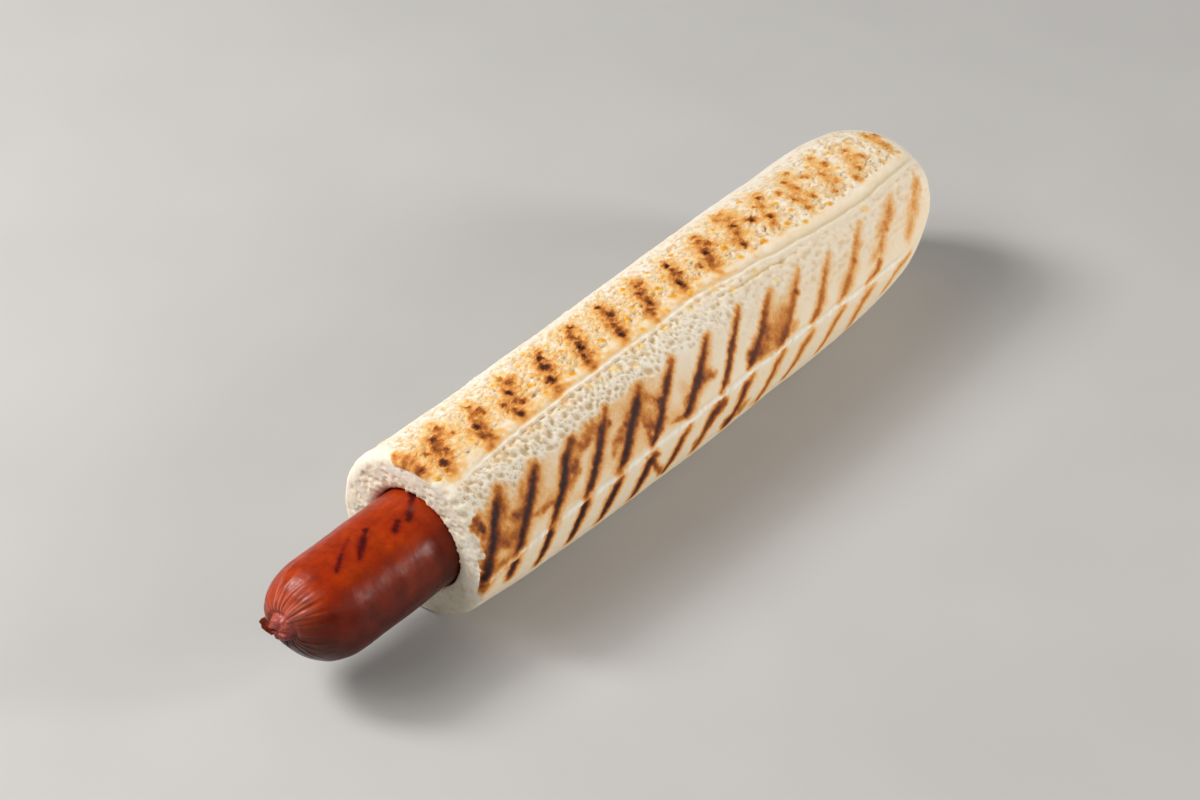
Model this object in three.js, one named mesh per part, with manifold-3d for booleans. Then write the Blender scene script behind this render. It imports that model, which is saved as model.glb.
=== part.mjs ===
// Bored-bun hot dog: a long pale wheat roll, closed and rounded at one end and
// cut square at the other, with a blind hole along its length that holds a
// grilled sausage. The sausage sticks out of the cut end. Its casing is
// gathered into pleats round a small knot, with a loose flap of casing.
//
// Units are millimetres, +Z is up and +X runs along the roll, from the
// sausage's tip to the closed end. The roll rests on a narrow flat at z = 0.
//
// "Local" coordinates start at the middle of the cut face: s runs along the
// roll, and theta is measured round it from +Z towards -Y.

import * as THREE from 'three';
import { mergeVertices } from 'three/addons/utils/BufferGeometryUtils.js';
import Module from 'manifold-3d';

// ---- where the local frame sits in the part's frame ------------------------
const ORIGIN_X = -77.48;         // cut face
const ORIGIN_Y = -2.71;          // line that the bow is measured from

// ---- roll ------------------------------------------------------------------
const BUN_LENGTH = 201.8;
const BUN_AXIS_Z = 24.4;         // height of the roll's middle line
const BUN_R_NEAR = 24.0;         // radius at the cut face
const BUN_R_C1 = 4.314;          // radius = near + c1 t + c2 t^2 + c3 t^3
const BUN_R_C2 = -1.7085;
const BUN_R_C3 = -2.4933;
const BUN_CAP_LENGTH = 25.3;     // length over which the closed end rounds off
const BUN_CAP_POWER = 0.21;     // low = blunt end
const BUN_BOW_NEAR = 6.677;      // sideways sweep of the cut end
const BUN_BOW_DECAY = 60.55;
const BUN_BOW_FAR = -1.267;      // and of the closed end
const STERN_START = 0.72;        // the underside rises towards the closed end
const STERN_Q2 = 0.1688;
const STERN_Q4 = 0.2149;
const STERN_DIR = 128;           // degrees: where that rise is strongest
const RIM_ROUND = 1.5;           // rounding of the cut face's outer edge
const RIM_ROUND_EXTRA = 0.9;     // and how much softer it is at the back
const RIM_SOFT_DIR = -62;
const SIDE_FLAT = 0.55;          // flattening of the side between the creases
const SETTLE = 0.35;             // the underside is pressed flat below this height

// ---- creases of the roll ----------------------------------------------------
// each runs at a steady angle, swings down at the cut end over a decay length,
// and swings again over [from, to] towards the closed end
const CREASE1 = { base: 19.5, near: 12.2, decay: 18, far: 14.8, from: 92, to: 160, end: -3 };
const CREASE1_DEPTH = 0.7;
const CREASE2 = { base: 81, near: 17, decay: 22, far: 6, from: 118, to: 173, end: 0 };
const CREASE2_DEPTH = 0.35;
const CREASE_STEP = 3.2;         // degrees to the shoulders of a crease

// ---- bore --------------------------------------------------------------------
const BORE_DEPTH = 178;
const BORE_R = 14.45;
const BORE_EDGE = 0.4;           // rounding where the bore meets the cut face
const BORE_EDGE_EXTRA = 2.2;     // and how much softer it is at the upper back
const BORE_SOFT_DIR = -58;
const BORE_END_LENGTH = 14.6;

// ---- sausage -----------------------------------------------------------------
const SAUSAGE_R = 14.08;
const SAUSAGE_OUT = 45.2;        // how far it sticks out
const SAUSAGE_IN = 175;          // how far it runs into the roll
const SAUSAGE_Y = 5.42;          // its middle at the cut face
const SAUSAGE_Z = 23.9;
const SAUSAGE_SWEEP = 0.058;     // sideways and downwards lean outside
const SAUSAGE_DROOP = 0.031;
const TIP_LENGTH = 14.1;         // rounded end
const TIP_POWER = 0.44;
const TIP_SHIFT = 1.7;           // the knot sits off the middle line
const TIP_SHIFT_DIR = -52;       // degrees
const PLEATS = 18;
const PLEAT_DEPTH = 0.42;
const PLEAT_REACH = 13;          // along the surface from the knot
const KNOT_R = 4.0;
const KNOT_PROUD = 1.0;
const FLAP_LENGTH = 5.6;
const FLAP_THICKNESS = 0.9;

// ---- resolution ----------------------------------------------------------------
const BUN_COLUMNS = 48;
const BUN_ROWS = 40;
const SAUSAGE_COLUMNS = 36;
const SAUSAGE_ROWS = 26;

const DEG = Math.PI / 180;
const clamp = (v, lo, hi) => Math.min(hi, Math.max(lo, v));
const smooth = (v) => { const c = clamp(v, 0, 1); return c * c * (3 - 2 * c); };
const lerp = (a, b, t) => a + (b - a) * t;

// angle difference folded into -180..180 degrees
function fold(d) {
  return ((d + 180) % 360 + 360) % 360 - 180;
}

// direction of a crease, in degrees, at a distance along the roll
function creaseAngle(c, s) {
  return c.base + c.near * Math.exp(-Math.max(s, 0) / c.decay)
    + c.far * smooth((s - c.from) / (c.to - c.from))
    + c.end * smooth((s - 165) / (BUN_LENGTH - 165));
}

// ---- the roll's surface ----------------------------------------------------------

function bunRadius(s) {
  const t = clamp(s / BUN_LENGTH, 0, 1);
  const body = BUN_R_NEAR + BUN_R_C1 * t + BUN_R_C2 * t * t + BUN_R_C3 * t * t * t;
  const u = clamp((s - (BUN_LENGTH - BUN_CAP_LENGTH)) / BUN_CAP_LENGTH, 0, 1);
  return body * Math.pow(Math.max(1 - u * u, 0), BUN_CAP_POWER);
}

function bunCentreY(s) {
  const far = clamp((s / BUN_LENGTH - 0.5) / 0.5, 0, 1);
  return BUN_BOW_NEAR * Math.exp(-Math.max(s, 0) / BUN_BOW_DECAY) + BUN_BOW_FAR * far * far;
}

// columns sit closer together at the two creases, so that each crease is a
// line of vertices with a shoulder on either side
function columnAngle(k, s) {
  const c1 = creaseAngle(CREASE1, s);
  const c2 = creaseAngle(CREASE2, s);
  const stops = [
    [0, c2 - 360 + 82], [12, c1 - CREASE_STEP - 64], [17, c1 - CREASE_STEP - 14],
    [19, c1 - CREASE_STEP], [20, c1], [21, c1 + CREASE_STEP],
    [28, c2 - CREASE_STEP], [29, c2], [30, c2 + CREASE_STEP], [33, c2 + 25],
    [48, c2 + 82],
  ];
  for (let i = 1; i < stops.length; i++) {
    if (k <= stops[i][0]) {
      const [k0, a0] = stops[i - 1];
      const [k1, a1] = stops[i];
      return a0 + (a1 - a0) * (k - k0) / (k1 - k0);
    }
  }
  return stops[stops.length - 1][1];
}

// radius of the roll in one direction, with the creases, the flatter side
// between them, and the rise of the underside towards the closed end
function bunSection(s, theta, column) {
  const t = clamp(s / BUN_LENGTH, 0, 1);
  const c1 = creaseAngle(CREASE1, s);
  const c2 = creaseAngle(CREASE2, s);
  const cap = bunRadius(s);
  const fade = smooth(cap / BUN_R_NEAR * 1.6 - 0.6);
  let r = cap;
  const mid = (c1 + c2) / 2;
  const half = (c2 - c1) / 2;
  const q = fold(theta - mid) / half;
  if (Math.abs(q) < 1) r -= SIDE_FLAT * Math.cos(q * Math.PI / 2) ** 2 * fade;
  if (column === 20) r -= CREASE1_DEPTH * fade * smooth((t - 0.01) * 12);
  if (column === 29) r -= CREASE2_DEPTH * fade;
  const g = clamp((t - STERN_START) / (1 - STERN_START), 0, 1);
  const w = clamp(Math.cos(fold(theta - STERN_DIR) * DEG), 0, 1) ** 2;
  return r * (1 - (STERN_Q2 * g * g + STERN_Q4 * g ** 4) * w);
}

// ---- the sausage's middle line -----------------------------------------------------

function sausageY(s) {
  return s < 0 ? SAUSAGE_Y - SAUSAGE_SWEEP * s
    : SAUSAGE_Y * Math.exp(-s * SAUSAGE_SWEEP / SAUSAGE_Y);
}

function sausageZ(s) {
  return s < 0 ? SAUSAGE_Z + SAUSAGE_DROOP * s
    : SAUSAGE_Z + 0.8 * (1 - Math.exp(-s * SAUSAGE_DROOP / 0.8));
}

// ---- helpers that turn a revolved form into a solid ----------------------------------

// A lathe turned about Y whose vertices are then placed by a function of the
// profile row and the column round it. Seam and pole vertices are merged.
function lathePlaced(profile, columns, place) {
  const lathe = new THREE.LatheGeometry(profile, columns);
  const pos = lathe.attributes.position;
  const rows = profile.length;
  const last = rows - 1;
  for (let c = 0; c <= columns; c++) {
    for (let r = 0; r < rows; r++) {
      const column = c === columns ? 0 : c;
      const [x, y, z] = place(r, r === 0 || r === last ? 0 : column);
      pos.setXYZ(c * rows + r, x, y, z);
    }
  }
  lathe.deleteAttribute('normal');
  lathe.deleteAttribute('uv');
  return mergeVertices(lathe, 1e-4);
}

const wasm = await Module();
wasm.setup();

// a closed solid from a geometry with merged vertices, with its faces turned out
function toSolid(geometry) {
  const src = geometry.attributes.position;
  const vertProperties = new Float32Array(src.array);
  const index = geometry.index.array;
  const keep = [];
  let volume = 0;
  const v = (i) => new THREE.Vector3().fromBufferAttribute(src, i);
  for (let i = 0; i < index.length; i += 3) {
    const [a, b, c] = [index[i], index[i + 1], index[i + 2]];
    if (a === b || b === c || a === c) continue;
    keep.push(a, b, c);
    volume += v(a).dot(v(b).cross(v(c)));
  }
  if (volume < 0) {
    for (let i = 0; i < keep.length; i += 3) {
      [keep[i + 1], keep[i + 2]] = [keep[i + 2], keep[i + 1]];
    }
  }
  return new wasm.Manifold(new wasm.Mesh({
    numProp: 3, vertProperties, triVerts: new Uint32Array(keep),
  }));
}

function fromSolid(solid) {
  const mesh = solid.getMesh();
  const geometry = new THREE.BufferGeometry();
  geometry.setAttribute('position', new THREE.BufferAttribute(new Float32Array(mesh.vertProperties), 3));
  geometry.setIndex(new THREE.BufferAttribute(new Uint32Array(mesh.triVerts), 1));
  geometry.computeVertexNormals();
  return geometry;
}

// ---- roll: skin, cut face and bore in one revolved form -------------------------------

function bunRim(theta) {
  const soft = clamp(Math.cos(fold(theta - RIM_SOFT_DIR) * DEG), 0, 1) ** 2;
  return RIM_ROUND + RIM_ROUND_EXTRA * soft;
}

function makeBun() {
  // each row of the profile: how to place it, given the column
  const rows = [];
  const skin = (s) => (k) => {
    const theta = columnAngle(k, s);
    const r = bunSection(s, theta, k);
    return skinPoint(s, r, theta);
  };
  const skinPoint = (s, r, theta) => {
    const y = bunCentreY(s) - r * Math.sin(theta * DEG);
    const z = BUN_AXIS_Z + r * Math.cos(theta * DEG);
    return [s, y, z > 4 * SETTLE ? z : Math.max(0, (z - SETTLE) * 4 / 3)];
  };
  const borePoint = (s, r) => (k) => {
    const theta = columnAngle(k, 0) * DEG;
    return [s, sausageY(s) - r * Math.sin(theta), sausageZ(s) + r * Math.cos(theta)];
  };
  // rounded mouth of the bore: q runs from 0 on the wall to 1 on the cut face
  const mouthPoint = (q) => (k) => {
    const soft = clamp(Math.cos(fold(columnAngle(k, 0) - BORE_SOFT_DIR) * DEG), 0, 1) ** 2;
    const round = BORE_EDGE + BORE_EDGE_EXTRA * soft;
    const angle = q * Math.PI / 2;
    return borePoint(round * (1 - Math.sin(angle)), BORE_R + round * (1 - Math.cos(angle)))(k);
  };

  // blind end of the bore, from its pole to the wall
  rows.push(borePoint(BORE_DEPTH, 0));
  for (const q of [0.3, 0.55, 0.78, 1]) {
    const s = BORE_DEPTH - BORE_END_LENGTH * (1 - Math.cos(q * Math.PI / 2));
    rows.push(borePoint(s, BORE_R * Math.pow(Math.sin(q * Math.PI / 2), 0.8)));
  }
  // wall of the bore, out to the cut face
  for (const s of [135, 108, 82, 58, 36, 18, 7]) {
    rows.push(borePoint(s, BORE_R));
  }
  for (const q of [0, 0.4, 0.7, 1]) rows.push(mouthPoint(q));
  // rounded outer edge of the cut face
  for (const q of [0, 1, 2, 3]) {
    rows.push((k) => {
      const theta = columnAngle(k, 0);
      const round = bunRim(theta);
      const angle = q * Math.PI / 6;
      const s = round * (1 - Math.sin(angle));
      const r = bunSection(round, theta, k) - round * (1 - Math.cos(angle));
      return skinPoint(q === 3 ? 0 : s, r, theta);
    });
  }
  rows.splice(rows.length - 4, 4, ...rows.slice(-4).reverse());
  // skin, from the cut end to the start of the rounded cap
  const capStart = BUN_LENGTH - BUN_CAP_LENGTH;
  for (let i = 1; i <= BUN_ROWS - 12; i++) {
    rows.push(skin(lerp(5.4, capStart, (i - 0.4) / (BUN_ROWS - 12.4))));
  }
  // rounded cap, with rows bunched towards its pole
  for (let i = 1; i <= 11; i++) {
    const u = Math.sin(Math.pow(i / 12, 0.9) * Math.PI / 2);
    rows.push(skin(capStart + BUN_CAP_LENGTH * u));
  }
  // the pole of the closed end sits slightly high, as the underside rises
  const lift = BUN_R_NEAR * 0.16;
  rows.push(() => [BUN_LENGTH, bunCentreY(BUN_LENGTH) + lift * 0.78, BUN_AXIS_Z + lift * 0.62]);

  const profile = rows.map((_, i) => new THREE.Vector2(
    i === 0 || i === rows.length - 1 ? 0 : 1 + 0.01 * i, i));
  return toSolid(lathePlaced(profile, BUN_COLUMNS, (r, c) => rows[r](c)));
}

// ---- sausage: body with a rounded end inside and a gathered, knotted end outside --------

function makeSausageBody() {
  const rows = [];
  const body = (s, r, shift) => (k) => {
    const theta = k * 360 / SAUSAGE_COLUMNS;
    return sausagePoint(s, r, theta, shift, 0);
  };
  const sausagePoint = (s, r, theta, shift, dx) => [
    s + dx,
    sausageY(s) - r * Math.sin(theta * DEG) - shift * Math.sin(TIP_SHIFT_DIR * DEG),
    sausageZ(s) + r * Math.cos(theta * DEG) + shift * Math.cos(TIP_SHIFT_DIR * DEG),
  ];
  const tipS = -SAUSAGE_OUT;

  // the knot and the pleated cap, from the knot's middle outwards
  rows.push(() => sausagePoint(tipS - KNOT_PROUD, 0, 0, TIP_SHIFT, 0));
  for (const [rk, dx] of [[0.4, -0.85], [0.75, -0.35]]) {
    rows.push((k) => sausagePoint(tipS, KNOT_R * rk * (1 + 0.12 * Math.sin(3 * k * 10 * DEG + 1)),
      k * 360 / SAUSAGE_COLUMNS, TIP_SHIFT, dx * KNOT_PROUD));
  }
  const CAP_ROWS = 10;
  for (let i = 0; i <= CAP_ROWS; i++) {
    const v = lerp(0.10, 1, i / CAP_ROWS);          // 0 at the knot, 1 on the body
    const u = Math.cos(v * Math.PI / 2);
    const s = tipS + TIP_LENGTH * (1 - u);
    const r = SAUSAGE_R * Math.pow(Math.max(1 - u * u, 0), TIP_POWER);
    const shift = TIP_SHIFT * u * u;
    const near = smooth(1.25 - (v * TIP_LENGTH * 1.35) / PLEAT_REACH);
    rows.push((k) => {
      const theta = k * 360 / SAUSAGE_COLUMNS;
      const uneven = 1 + 0.35 * Math.sin(theta * DEG * 2 + 0.7) + 0.25 * Math.sin(theta * DEG * 5);
      const fold1 = (k % 2 ? -1 : 1) * (PLEATS * 2 === SAUSAGE_COLUMNS ? 1 : Math.cos(PLEATS * theta * DEG));
      const dip = i === 0 ? 0.9 : 0;
      return sausagePoint(s, r + PLEAT_DEPTH * near * uneven * fold1, theta, shift, dip);
    });
  }
  // body, out to the start of the plain end inside the roll
  const inEnd = SAUSAGE_IN - TIP_LENGTH;
  for (let i = 1; i <= SAUSAGE_ROWS; i++) {
    rows.push(body(lerp(tipS + TIP_LENGTH, inEnd, i / SAUSAGE_ROWS), SAUSAGE_R, 0));
  }
  for (const q of [0.22, 0.42, 0.6, 0.76, 0.9]) {
    const u = Math.sin(q * Math.PI / 2);
    rows.push(body(inEnd + TIP_LENGTH * u, SAUSAGE_R * Math.pow(1 - u * u, TIP_POWER), 0));
  }
  rows.push(() => sausagePoint(SAUSAGE_IN, 0, 0, 0, 0));

  const profile = rows.map((_, i) => new THREE.Vector2(
    i === 0 || i === rows.length - 1 ? 0 : 1 + 0.01 * i, i));
  return toSolid(lathePlaced(profile, SAUSAGE_COLUMNS, (r, c) => rows[r](c)));
}

// the loose flap of casing beside the knot: a thin curled tab
function makeFlap() {
  const outline = new THREE.Shape();
  outline.moveTo(0, 0);
  outline.lineTo(3.2, -0.4);
  outline.quadraticCurveTo(3.6, 1.9, 2.6, 3.8);
  outline.quadraticCurveTo(1.9, 5.0, 0.8, FLAP_LENGTH);
  outline.quadraticCurveTo(0.8, 3.0, 0, 0);
  const tab = new THREE.ExtrudeGeometry(outline, {
    depth: FLAP_THICKNESS, bevelEnabled: false, steps: 1, curveSegments: 4,
  });
  tab.deleteAttribute('normal');
  tab.deleteAttribute('uv');
  const merged = mergeVertices(tab, 1e-4);
  const pos = merged.attributes.position;
  for (let i = 0; i < pos.count; i++) {          // curl it outwards along its length
    const along = pos.getY(i) / FLAP_LENGTH;
    pos.setZ(i, pos.getZ(i) + 1.0 * along * along);
  }
  return merged;
}

function makeSausage() {
  const flap = makeFlap();
  // stands on the cap just below and beside the knot, leaning over it
  const place = new THREE.Matrix4().makeBasis(
    new THREE.Vector3(0.92, 0.35, -0.18).normalize(),
    new THREE.Vector3(-0.30, 0.62, 0.72).normalize(),
    new THREE.Vector3(-0.36, 0.61, -0.70).normalize(),
  );
  place.setPosition(-SAUSAGE_OUT + 0.0, sausageY(-SAUSAGE_OUT) + 4.2, sausageZ(-SAUSAGE_OUT) - 1.6);
  flap.applyMatrix4(place);
  return makeSausageBody().add(toSolid(flap));
}

// ---- the part ---------------------------------------------------------------------------

function addMesh(group, name, solid, material) {
  const mesh = new THREE.Mesh(fromSolid(solid), material);
  mesh.name = name;
  mesh.position.set(ORIGIN_X, ORIGIN_Y, 0);
  group.add(mesh);
}

const hotDog = new THREE.Group();
hotDog.name = 'hot_dog';

addMesh(hotDog, 'bun', makeBun(), new THREE.MeshStandardMaterial({
  name: 'bun_crust', color: 0xf0ddb8, roughness: 0.8, metalness: 0,
}));
addMesh(hotDog, 'sausage', makeSausage(), new THREE.MeshStandardMaterial({
  name: 'sausage_casing', color: 0x9c3216, roughness: 0.4, metalness: 0,
}));

export default hotDog;
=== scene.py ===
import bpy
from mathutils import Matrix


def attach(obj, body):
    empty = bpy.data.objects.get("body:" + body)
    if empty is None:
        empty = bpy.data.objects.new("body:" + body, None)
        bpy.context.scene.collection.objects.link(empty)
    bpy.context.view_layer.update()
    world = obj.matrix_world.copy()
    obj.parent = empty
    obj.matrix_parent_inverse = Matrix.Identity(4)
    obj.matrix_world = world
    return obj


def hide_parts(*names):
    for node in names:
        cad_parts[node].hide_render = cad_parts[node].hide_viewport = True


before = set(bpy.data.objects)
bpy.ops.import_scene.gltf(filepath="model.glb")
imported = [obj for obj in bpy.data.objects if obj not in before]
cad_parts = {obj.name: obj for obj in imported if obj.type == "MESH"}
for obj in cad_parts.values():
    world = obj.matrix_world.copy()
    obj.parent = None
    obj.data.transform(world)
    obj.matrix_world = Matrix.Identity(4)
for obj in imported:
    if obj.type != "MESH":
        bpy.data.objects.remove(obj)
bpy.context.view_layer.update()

import math

import bpy
import numpy as np
from mathutils import Vector

# ---------------------------------------------------------------------------
# Camera: the photograph's viewing angle, as an explicit place and aim
# ---------------------------------------------------------------------------
scene = bpy.context.scene
cam_data = bpy.data.cameras.new("cam")
cam = bpy.data.objects.new("cam", cam_data)
scene.collection.objects.link(cam)
cam_data.lens = 93.0
cam_data.sensor_width = 36.0
cam_data.clip_start = 0.01
cam_data.clip_end = 50
CAM_AT = Vector((-0.504392, -0.397095, 0.546532))
CAM_TO = Vector((-0.004322, 0.0017255, 0.0230))
cam.location = CAM_AT
cam.rotation_euler = (CAM_TO - CAM_AT).to_track_quat("-Z", "Y").to_euler()
scene.camera = cam

# ---------------------------------------------------------------------------
# Sizes, the same as the CAD part's, in millimetres
# ---------------------------------------------------------------------------
OX, OY = -77.48, -2.71
L, AXIS_Z, R0 = 201.8, 24.4, 24.0
CAP_L, CAP_P = 25.3, 0.21
BORE_R, BORE_DEPTH, BORE_END = 14.45, 178.0, 14.6
SAUS_R, SAUS_OUT, SAUS_IN = 14.08, 45.2, 175.0
TIP_L, TIP_P, TIP_SHIFT, TIP_DIR = 14.1, 0.44, 2.4, -52.0
CREASE1 = dict(base=19.5, near=12.2, decay=18.0, far=14.8, fr=92.0, to=160.0, end=-3.0)
CREASE2 = dict(base=81.0, near=17.0, decay=22.0, far=6.0, fr=118.0, to=173.0, end=0.0)

# ---------------------------------------------------------------------------
# Marks on the crust, placed one by one: (distance along the roll in mm, angle
# round it in degrees from the top towards the front), then sizes and strength
# ---------------------------------------------------------------------------
# grill strokes on the side, each drawn as a path of (along, angle, width in mm); then how deeply it is
# browned (0-1) and how far the browning runs out on its lower right and its upper left
STROKES = [
    ([(12.6, 45.5, 0.8), (10.0, 53.1, 1.9), (7.4, 60.4, 2.5), (4.8, 70.9, 2.2), (2.1, 83.0, 2.0), (0.7, 92.0, 1.8), (-0.3, 100.5, 1.4)], 0.93, 1.8, 1.6),
    ([(24.8, 47.1, 1.0), (21.7, 55.1, 1.8), (15.8, 71.3, 1.8), (13.5, 80.3, 1.8), (11.2, 88.6, 1.1)], 0.94, 1.5, 1.8),
    ([(38.2, 46.0, 1.2), (34.7, 52.7, 1.9), (32.0, 60.9, 2.5), (29.3, 68.4, 2.6), (26.4, 75.8, 1.9), (23.8, 84.4, 1.5)], 0.93, 1.5, 1.0),
    ([(52.8, 42.2, 0.8), (48.7, 50.5, 1.7), (45.1, 59.4, 2.0), (41.7, 67.8, 2.6), (38.8, 75.7, 2.2), (36.1, 83.0, 1.5)], 0.92, 1.1, 1.0),
    ([(65.4, 43.4, 1.0), (61.9, 50.4, 1.9), (58.5, 57.9, 2.0), (54.9, 65.0, 2.6), (51.8, 73.3, 2.6), (48.3, 80.8, 1.3)], 0.92, 1.4, 1.3),
    ([(79.2, 42.4, 0.8), (75.6, 49.0, 1.4), (72.1, 55.7, 1.6), (65.2, 71.0, 2.0), (61.5, 79.3, 1.4)], 0.84, 0.9, 1.1),
    ([(93.0, 43.4, 0.8), (90.1, 48.7, 1.7), (83.8, 61.3, 2.0), (79.9, 67.6, 2.0), (76.3, 76.0, 1.6)], 0.81, 1.4, 0.9),
    ([(107.6, 41.0, 0.6), (104.4, 47.1, 1.2), (97.3, 61.4, 1.7), (93.7, 70.1, 1.9), (89.8, 79.2, 1.2)], 0.81, 0.8, 0.8),
    ([(119.8, 44.2, 0.6), (116.7, 49.6, 1.2), (109.9, 63.5, 1.8), (106.0, 70.5, 2.2), (101.8, 77.9, 1.3)], 0.73, 1.4, 0.8),
    ([(132.3, 45.6, 0.6), (128.2, 53.7, 1.4), (121.1, 68.8, 1.8), (117.8, 74.9, 2.1), (115.4, 80.0, 1.4)], 0.54, 0.8, 1.8),
    ([(145.0, 49.2, 0.6), (141.4, 55.7, 1.3), (138.1, 62.7, 1.6), (132.0, 76.4, 1.9), (128.6, 80.9, 1.3)], 0.45, 1.2, 1.0),
    ([(160.4, 45.9, 0.7), (157.0, 52.0, 1.3), (150.6, 66.9, 1.5), (146.5, 75.1, 1.8), (141.8, 81.5, 1.1)], 0.32, 1.6, 1.2),
    ([(176.0, 44.0, 0.7), (173.3, 49.3, 1.3), (167.7, 60.2, 1.1), (164.0, 69.4, 1.0)], 0.24, 1.3, 1.6),
    ([(162.2, 74.5, 1.0), (161.4, 77.2, 1.3), (160.6, 79.8, 1.5), (158.2, 82.0, 1.2), (155.2, 83.2, 0.8)], 0.47, 1.4, 0.6),
    ([(188.5, 48.0, 1.8), (184.2, 56.4, 2.2), (179.8, 66.5, 2.5), (176.6, 76.0, 2.2)], 0.17, 2.0, 1.9),
    ([(10.9, 92.6, 1.0), (10.2, 96.6, 1.8), (9.3, 101.1, 1.7), (8.9, 107.0, 0.9)], 0.88, 1.2, 0.9),
    ([(23.2, 86.2, 0.9), (22.7, 92.5, 1.8), (21.0, 100.9, 1.8), (19.4, 113.0, 1.0)], 0.89, 0.8, 0.8),
    ([(37.0, 84.3, 1.0), (35.0, 90.3, 1.8), (32.8, 99.3, 2.0), (31.2, 113.3, 1.1)], 0.92, 1.0, 0.7),
    ([(49.4, 86.3, 0.9), (46.9, 91.0, 2.1), (44.6, 99.9, 2.2), (42.8, 113.5, 1.2)], 0.91, 1.0, 1.0),
    ([(62.4, 86.6, 1.1), (59.4, 92.1, 2.2), (57.2, 101.0, 2.3), (55.8, 113.8, 1.6)], 0.84, 1.1, 1.1),
    ([(62.0, 86.0, 1.4), (61.6, 93.0, 1.1), (62.9, 98.9, 1.1), (66.4, 110.1, 1.1)], 0.6, 0.8, 0.6),
    ([(76.7, 86.0, 0.6), (73.5, 90.1, 1.6), (70.8, 98.6, 2.1), (68.2, 111.8, 1.5)], 0.77, 0.9, 0.9),
    ([(90.2, 84.0, 0.8), (85.8, 89.8, 1.9), (83.2, 97.6, 2.0), (80.5, 111.5, 1.6)], 0.67, 1.3, 1.0),
    ([(103.4, 83.4, 0.6), (99.8, 89.3, 1.6), (96.8, 100.6, 2.0), (94.0, 113.8, 1.9)], 0.74, 1.2, 0.9),
    ([(117.0, 84.0, 0.8), (113.4, 90.8, 1.4), (110.5, 101.0, 1.7), (107.6, 112.0, 1.4)], 0.6, 1.3, 1.0),
    ([(129.9, 86.1, 0.7), (125.6, 92.4, 1.6), (122.7, 101.9, 1.5), (120.0, 111.5, 1.3)], 0.52, 1.2, 1.0),
    ([(144.6, 87.8, 0.7), (140.8, 92.2, 1.3), (138.1, 101.4, 1.5), (135.6, 111.2, 1.3)], 0.47, 1.0, 1.2),
    ([(158.0, 91.1, 0.8), (154.0, 95.8, 1.4), (151.2, 103.8, 1.5), (150.8, 114.0, 1.2)], 0.43, 1.4, 1.4),
    ([(178.0, 91.9, 0.9), (172.6, 93.4, 1.3), (165.8, 106.2, 1.0)], 0.3, 1.2, 1.0)]

# bands the grill left across the top: a path of (along, angle, width in mm), then how deeply each is browned
BANDS = [
    ([(0.4, -17, 2.4), (1.3, -2, 3.6), (0.9, 14, 2.6)], 0.5),
    ([(15.6, -19, 3.2), (14.8, -12, 4.4), (10.2, -1, 5.6), (7.6, 9, 5.8), (5.8, 22, 3.6)], 0.54),
    ([(27.0, -18, 2.6), (25.3, -6, 4.0), (22.1, 5, 4.6), (20.3, 17, 4.2), (19.0, 22, 3.2)], 0.58),
    ([(41.2, -20, 2.6), (39.8, -11, 4.2), (35.8, 0, 4.8), (32.9, 13, 4.6), (31.0, 22, 2.8)], 0.62),
    ([(54.9, -20, 2.8), (52.0, -11, 4.0), (49.2, 0, 4.6), (46.9, 9, 4.0), (44.2, 21, 3.0)], 0.65),
    ([(67.9, -20, 3.2), (64.6, -10, 4.4), (61.6, 3, 4.2), (59.1, 13, 4.0), (57.5, 21, 2.6)], 0.63),
    ([(79.3, -20, 3.0), (77.8, -11, 4.4), (75.4, -1, 4.8), (73.0, 11, 4.0), (71.2, 18, 2.6)], 0.62),
    ([(92.8, -16, 3.4), (90.0, -7, 4.3), (87.4, 4, 4.0), (84.5, 13, 3.6), (83.6, 18, 2.6)], 0.6),
    ([(105.2, -16, 2.6), (103.4, -8, 3.8), (101.0, 3, 4.0), (98.3, 12, 3.8), (98.0, 17, 2.8)], 0.61),
    ([(119.5, -20, 2.6), (117.6, -9, 4.6), (114.4, 1, 4.6), (111.4, 10, 4.8), (110.8, 17, 2.8)], 0.57),
    ([(131.6, -20, 4.2), (130.2, -10, 5.6), (127.2, 1, 4.6), (124.6, 10, 4.6), (124.3, 17, 2.8)], 0.56),
    ([(144.4, -16, 3.2), (142.2, -7, 4.5), (139.4, 2, 3.8), (137.2, 14, 3.8)], 0.5),
    ([(158.2, -16, 4.0), (154.9, -8, 4.4), (153.0, 2, 5.0), (150.9, 10, 5.0), (150.2, 21, 3.4)], 0.46),
    ([(169.6, -16, 3.2), (167.9, -5, 4.2), (164.4, 5, 4.6), (163.8, 13, 4.8), (161.2, 21, 2.8)], 0.41),
    ([(174.0, -8, 2.6), (177.2, 2, 4.2), (175.8, 10, 5.6), (171.0, 21, 3.6)], 0.38),
    ([(190.5, -7, 3.0), (190.2, 4, 4.2), (189.6, 20, 3.0)], 0.47)]

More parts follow.
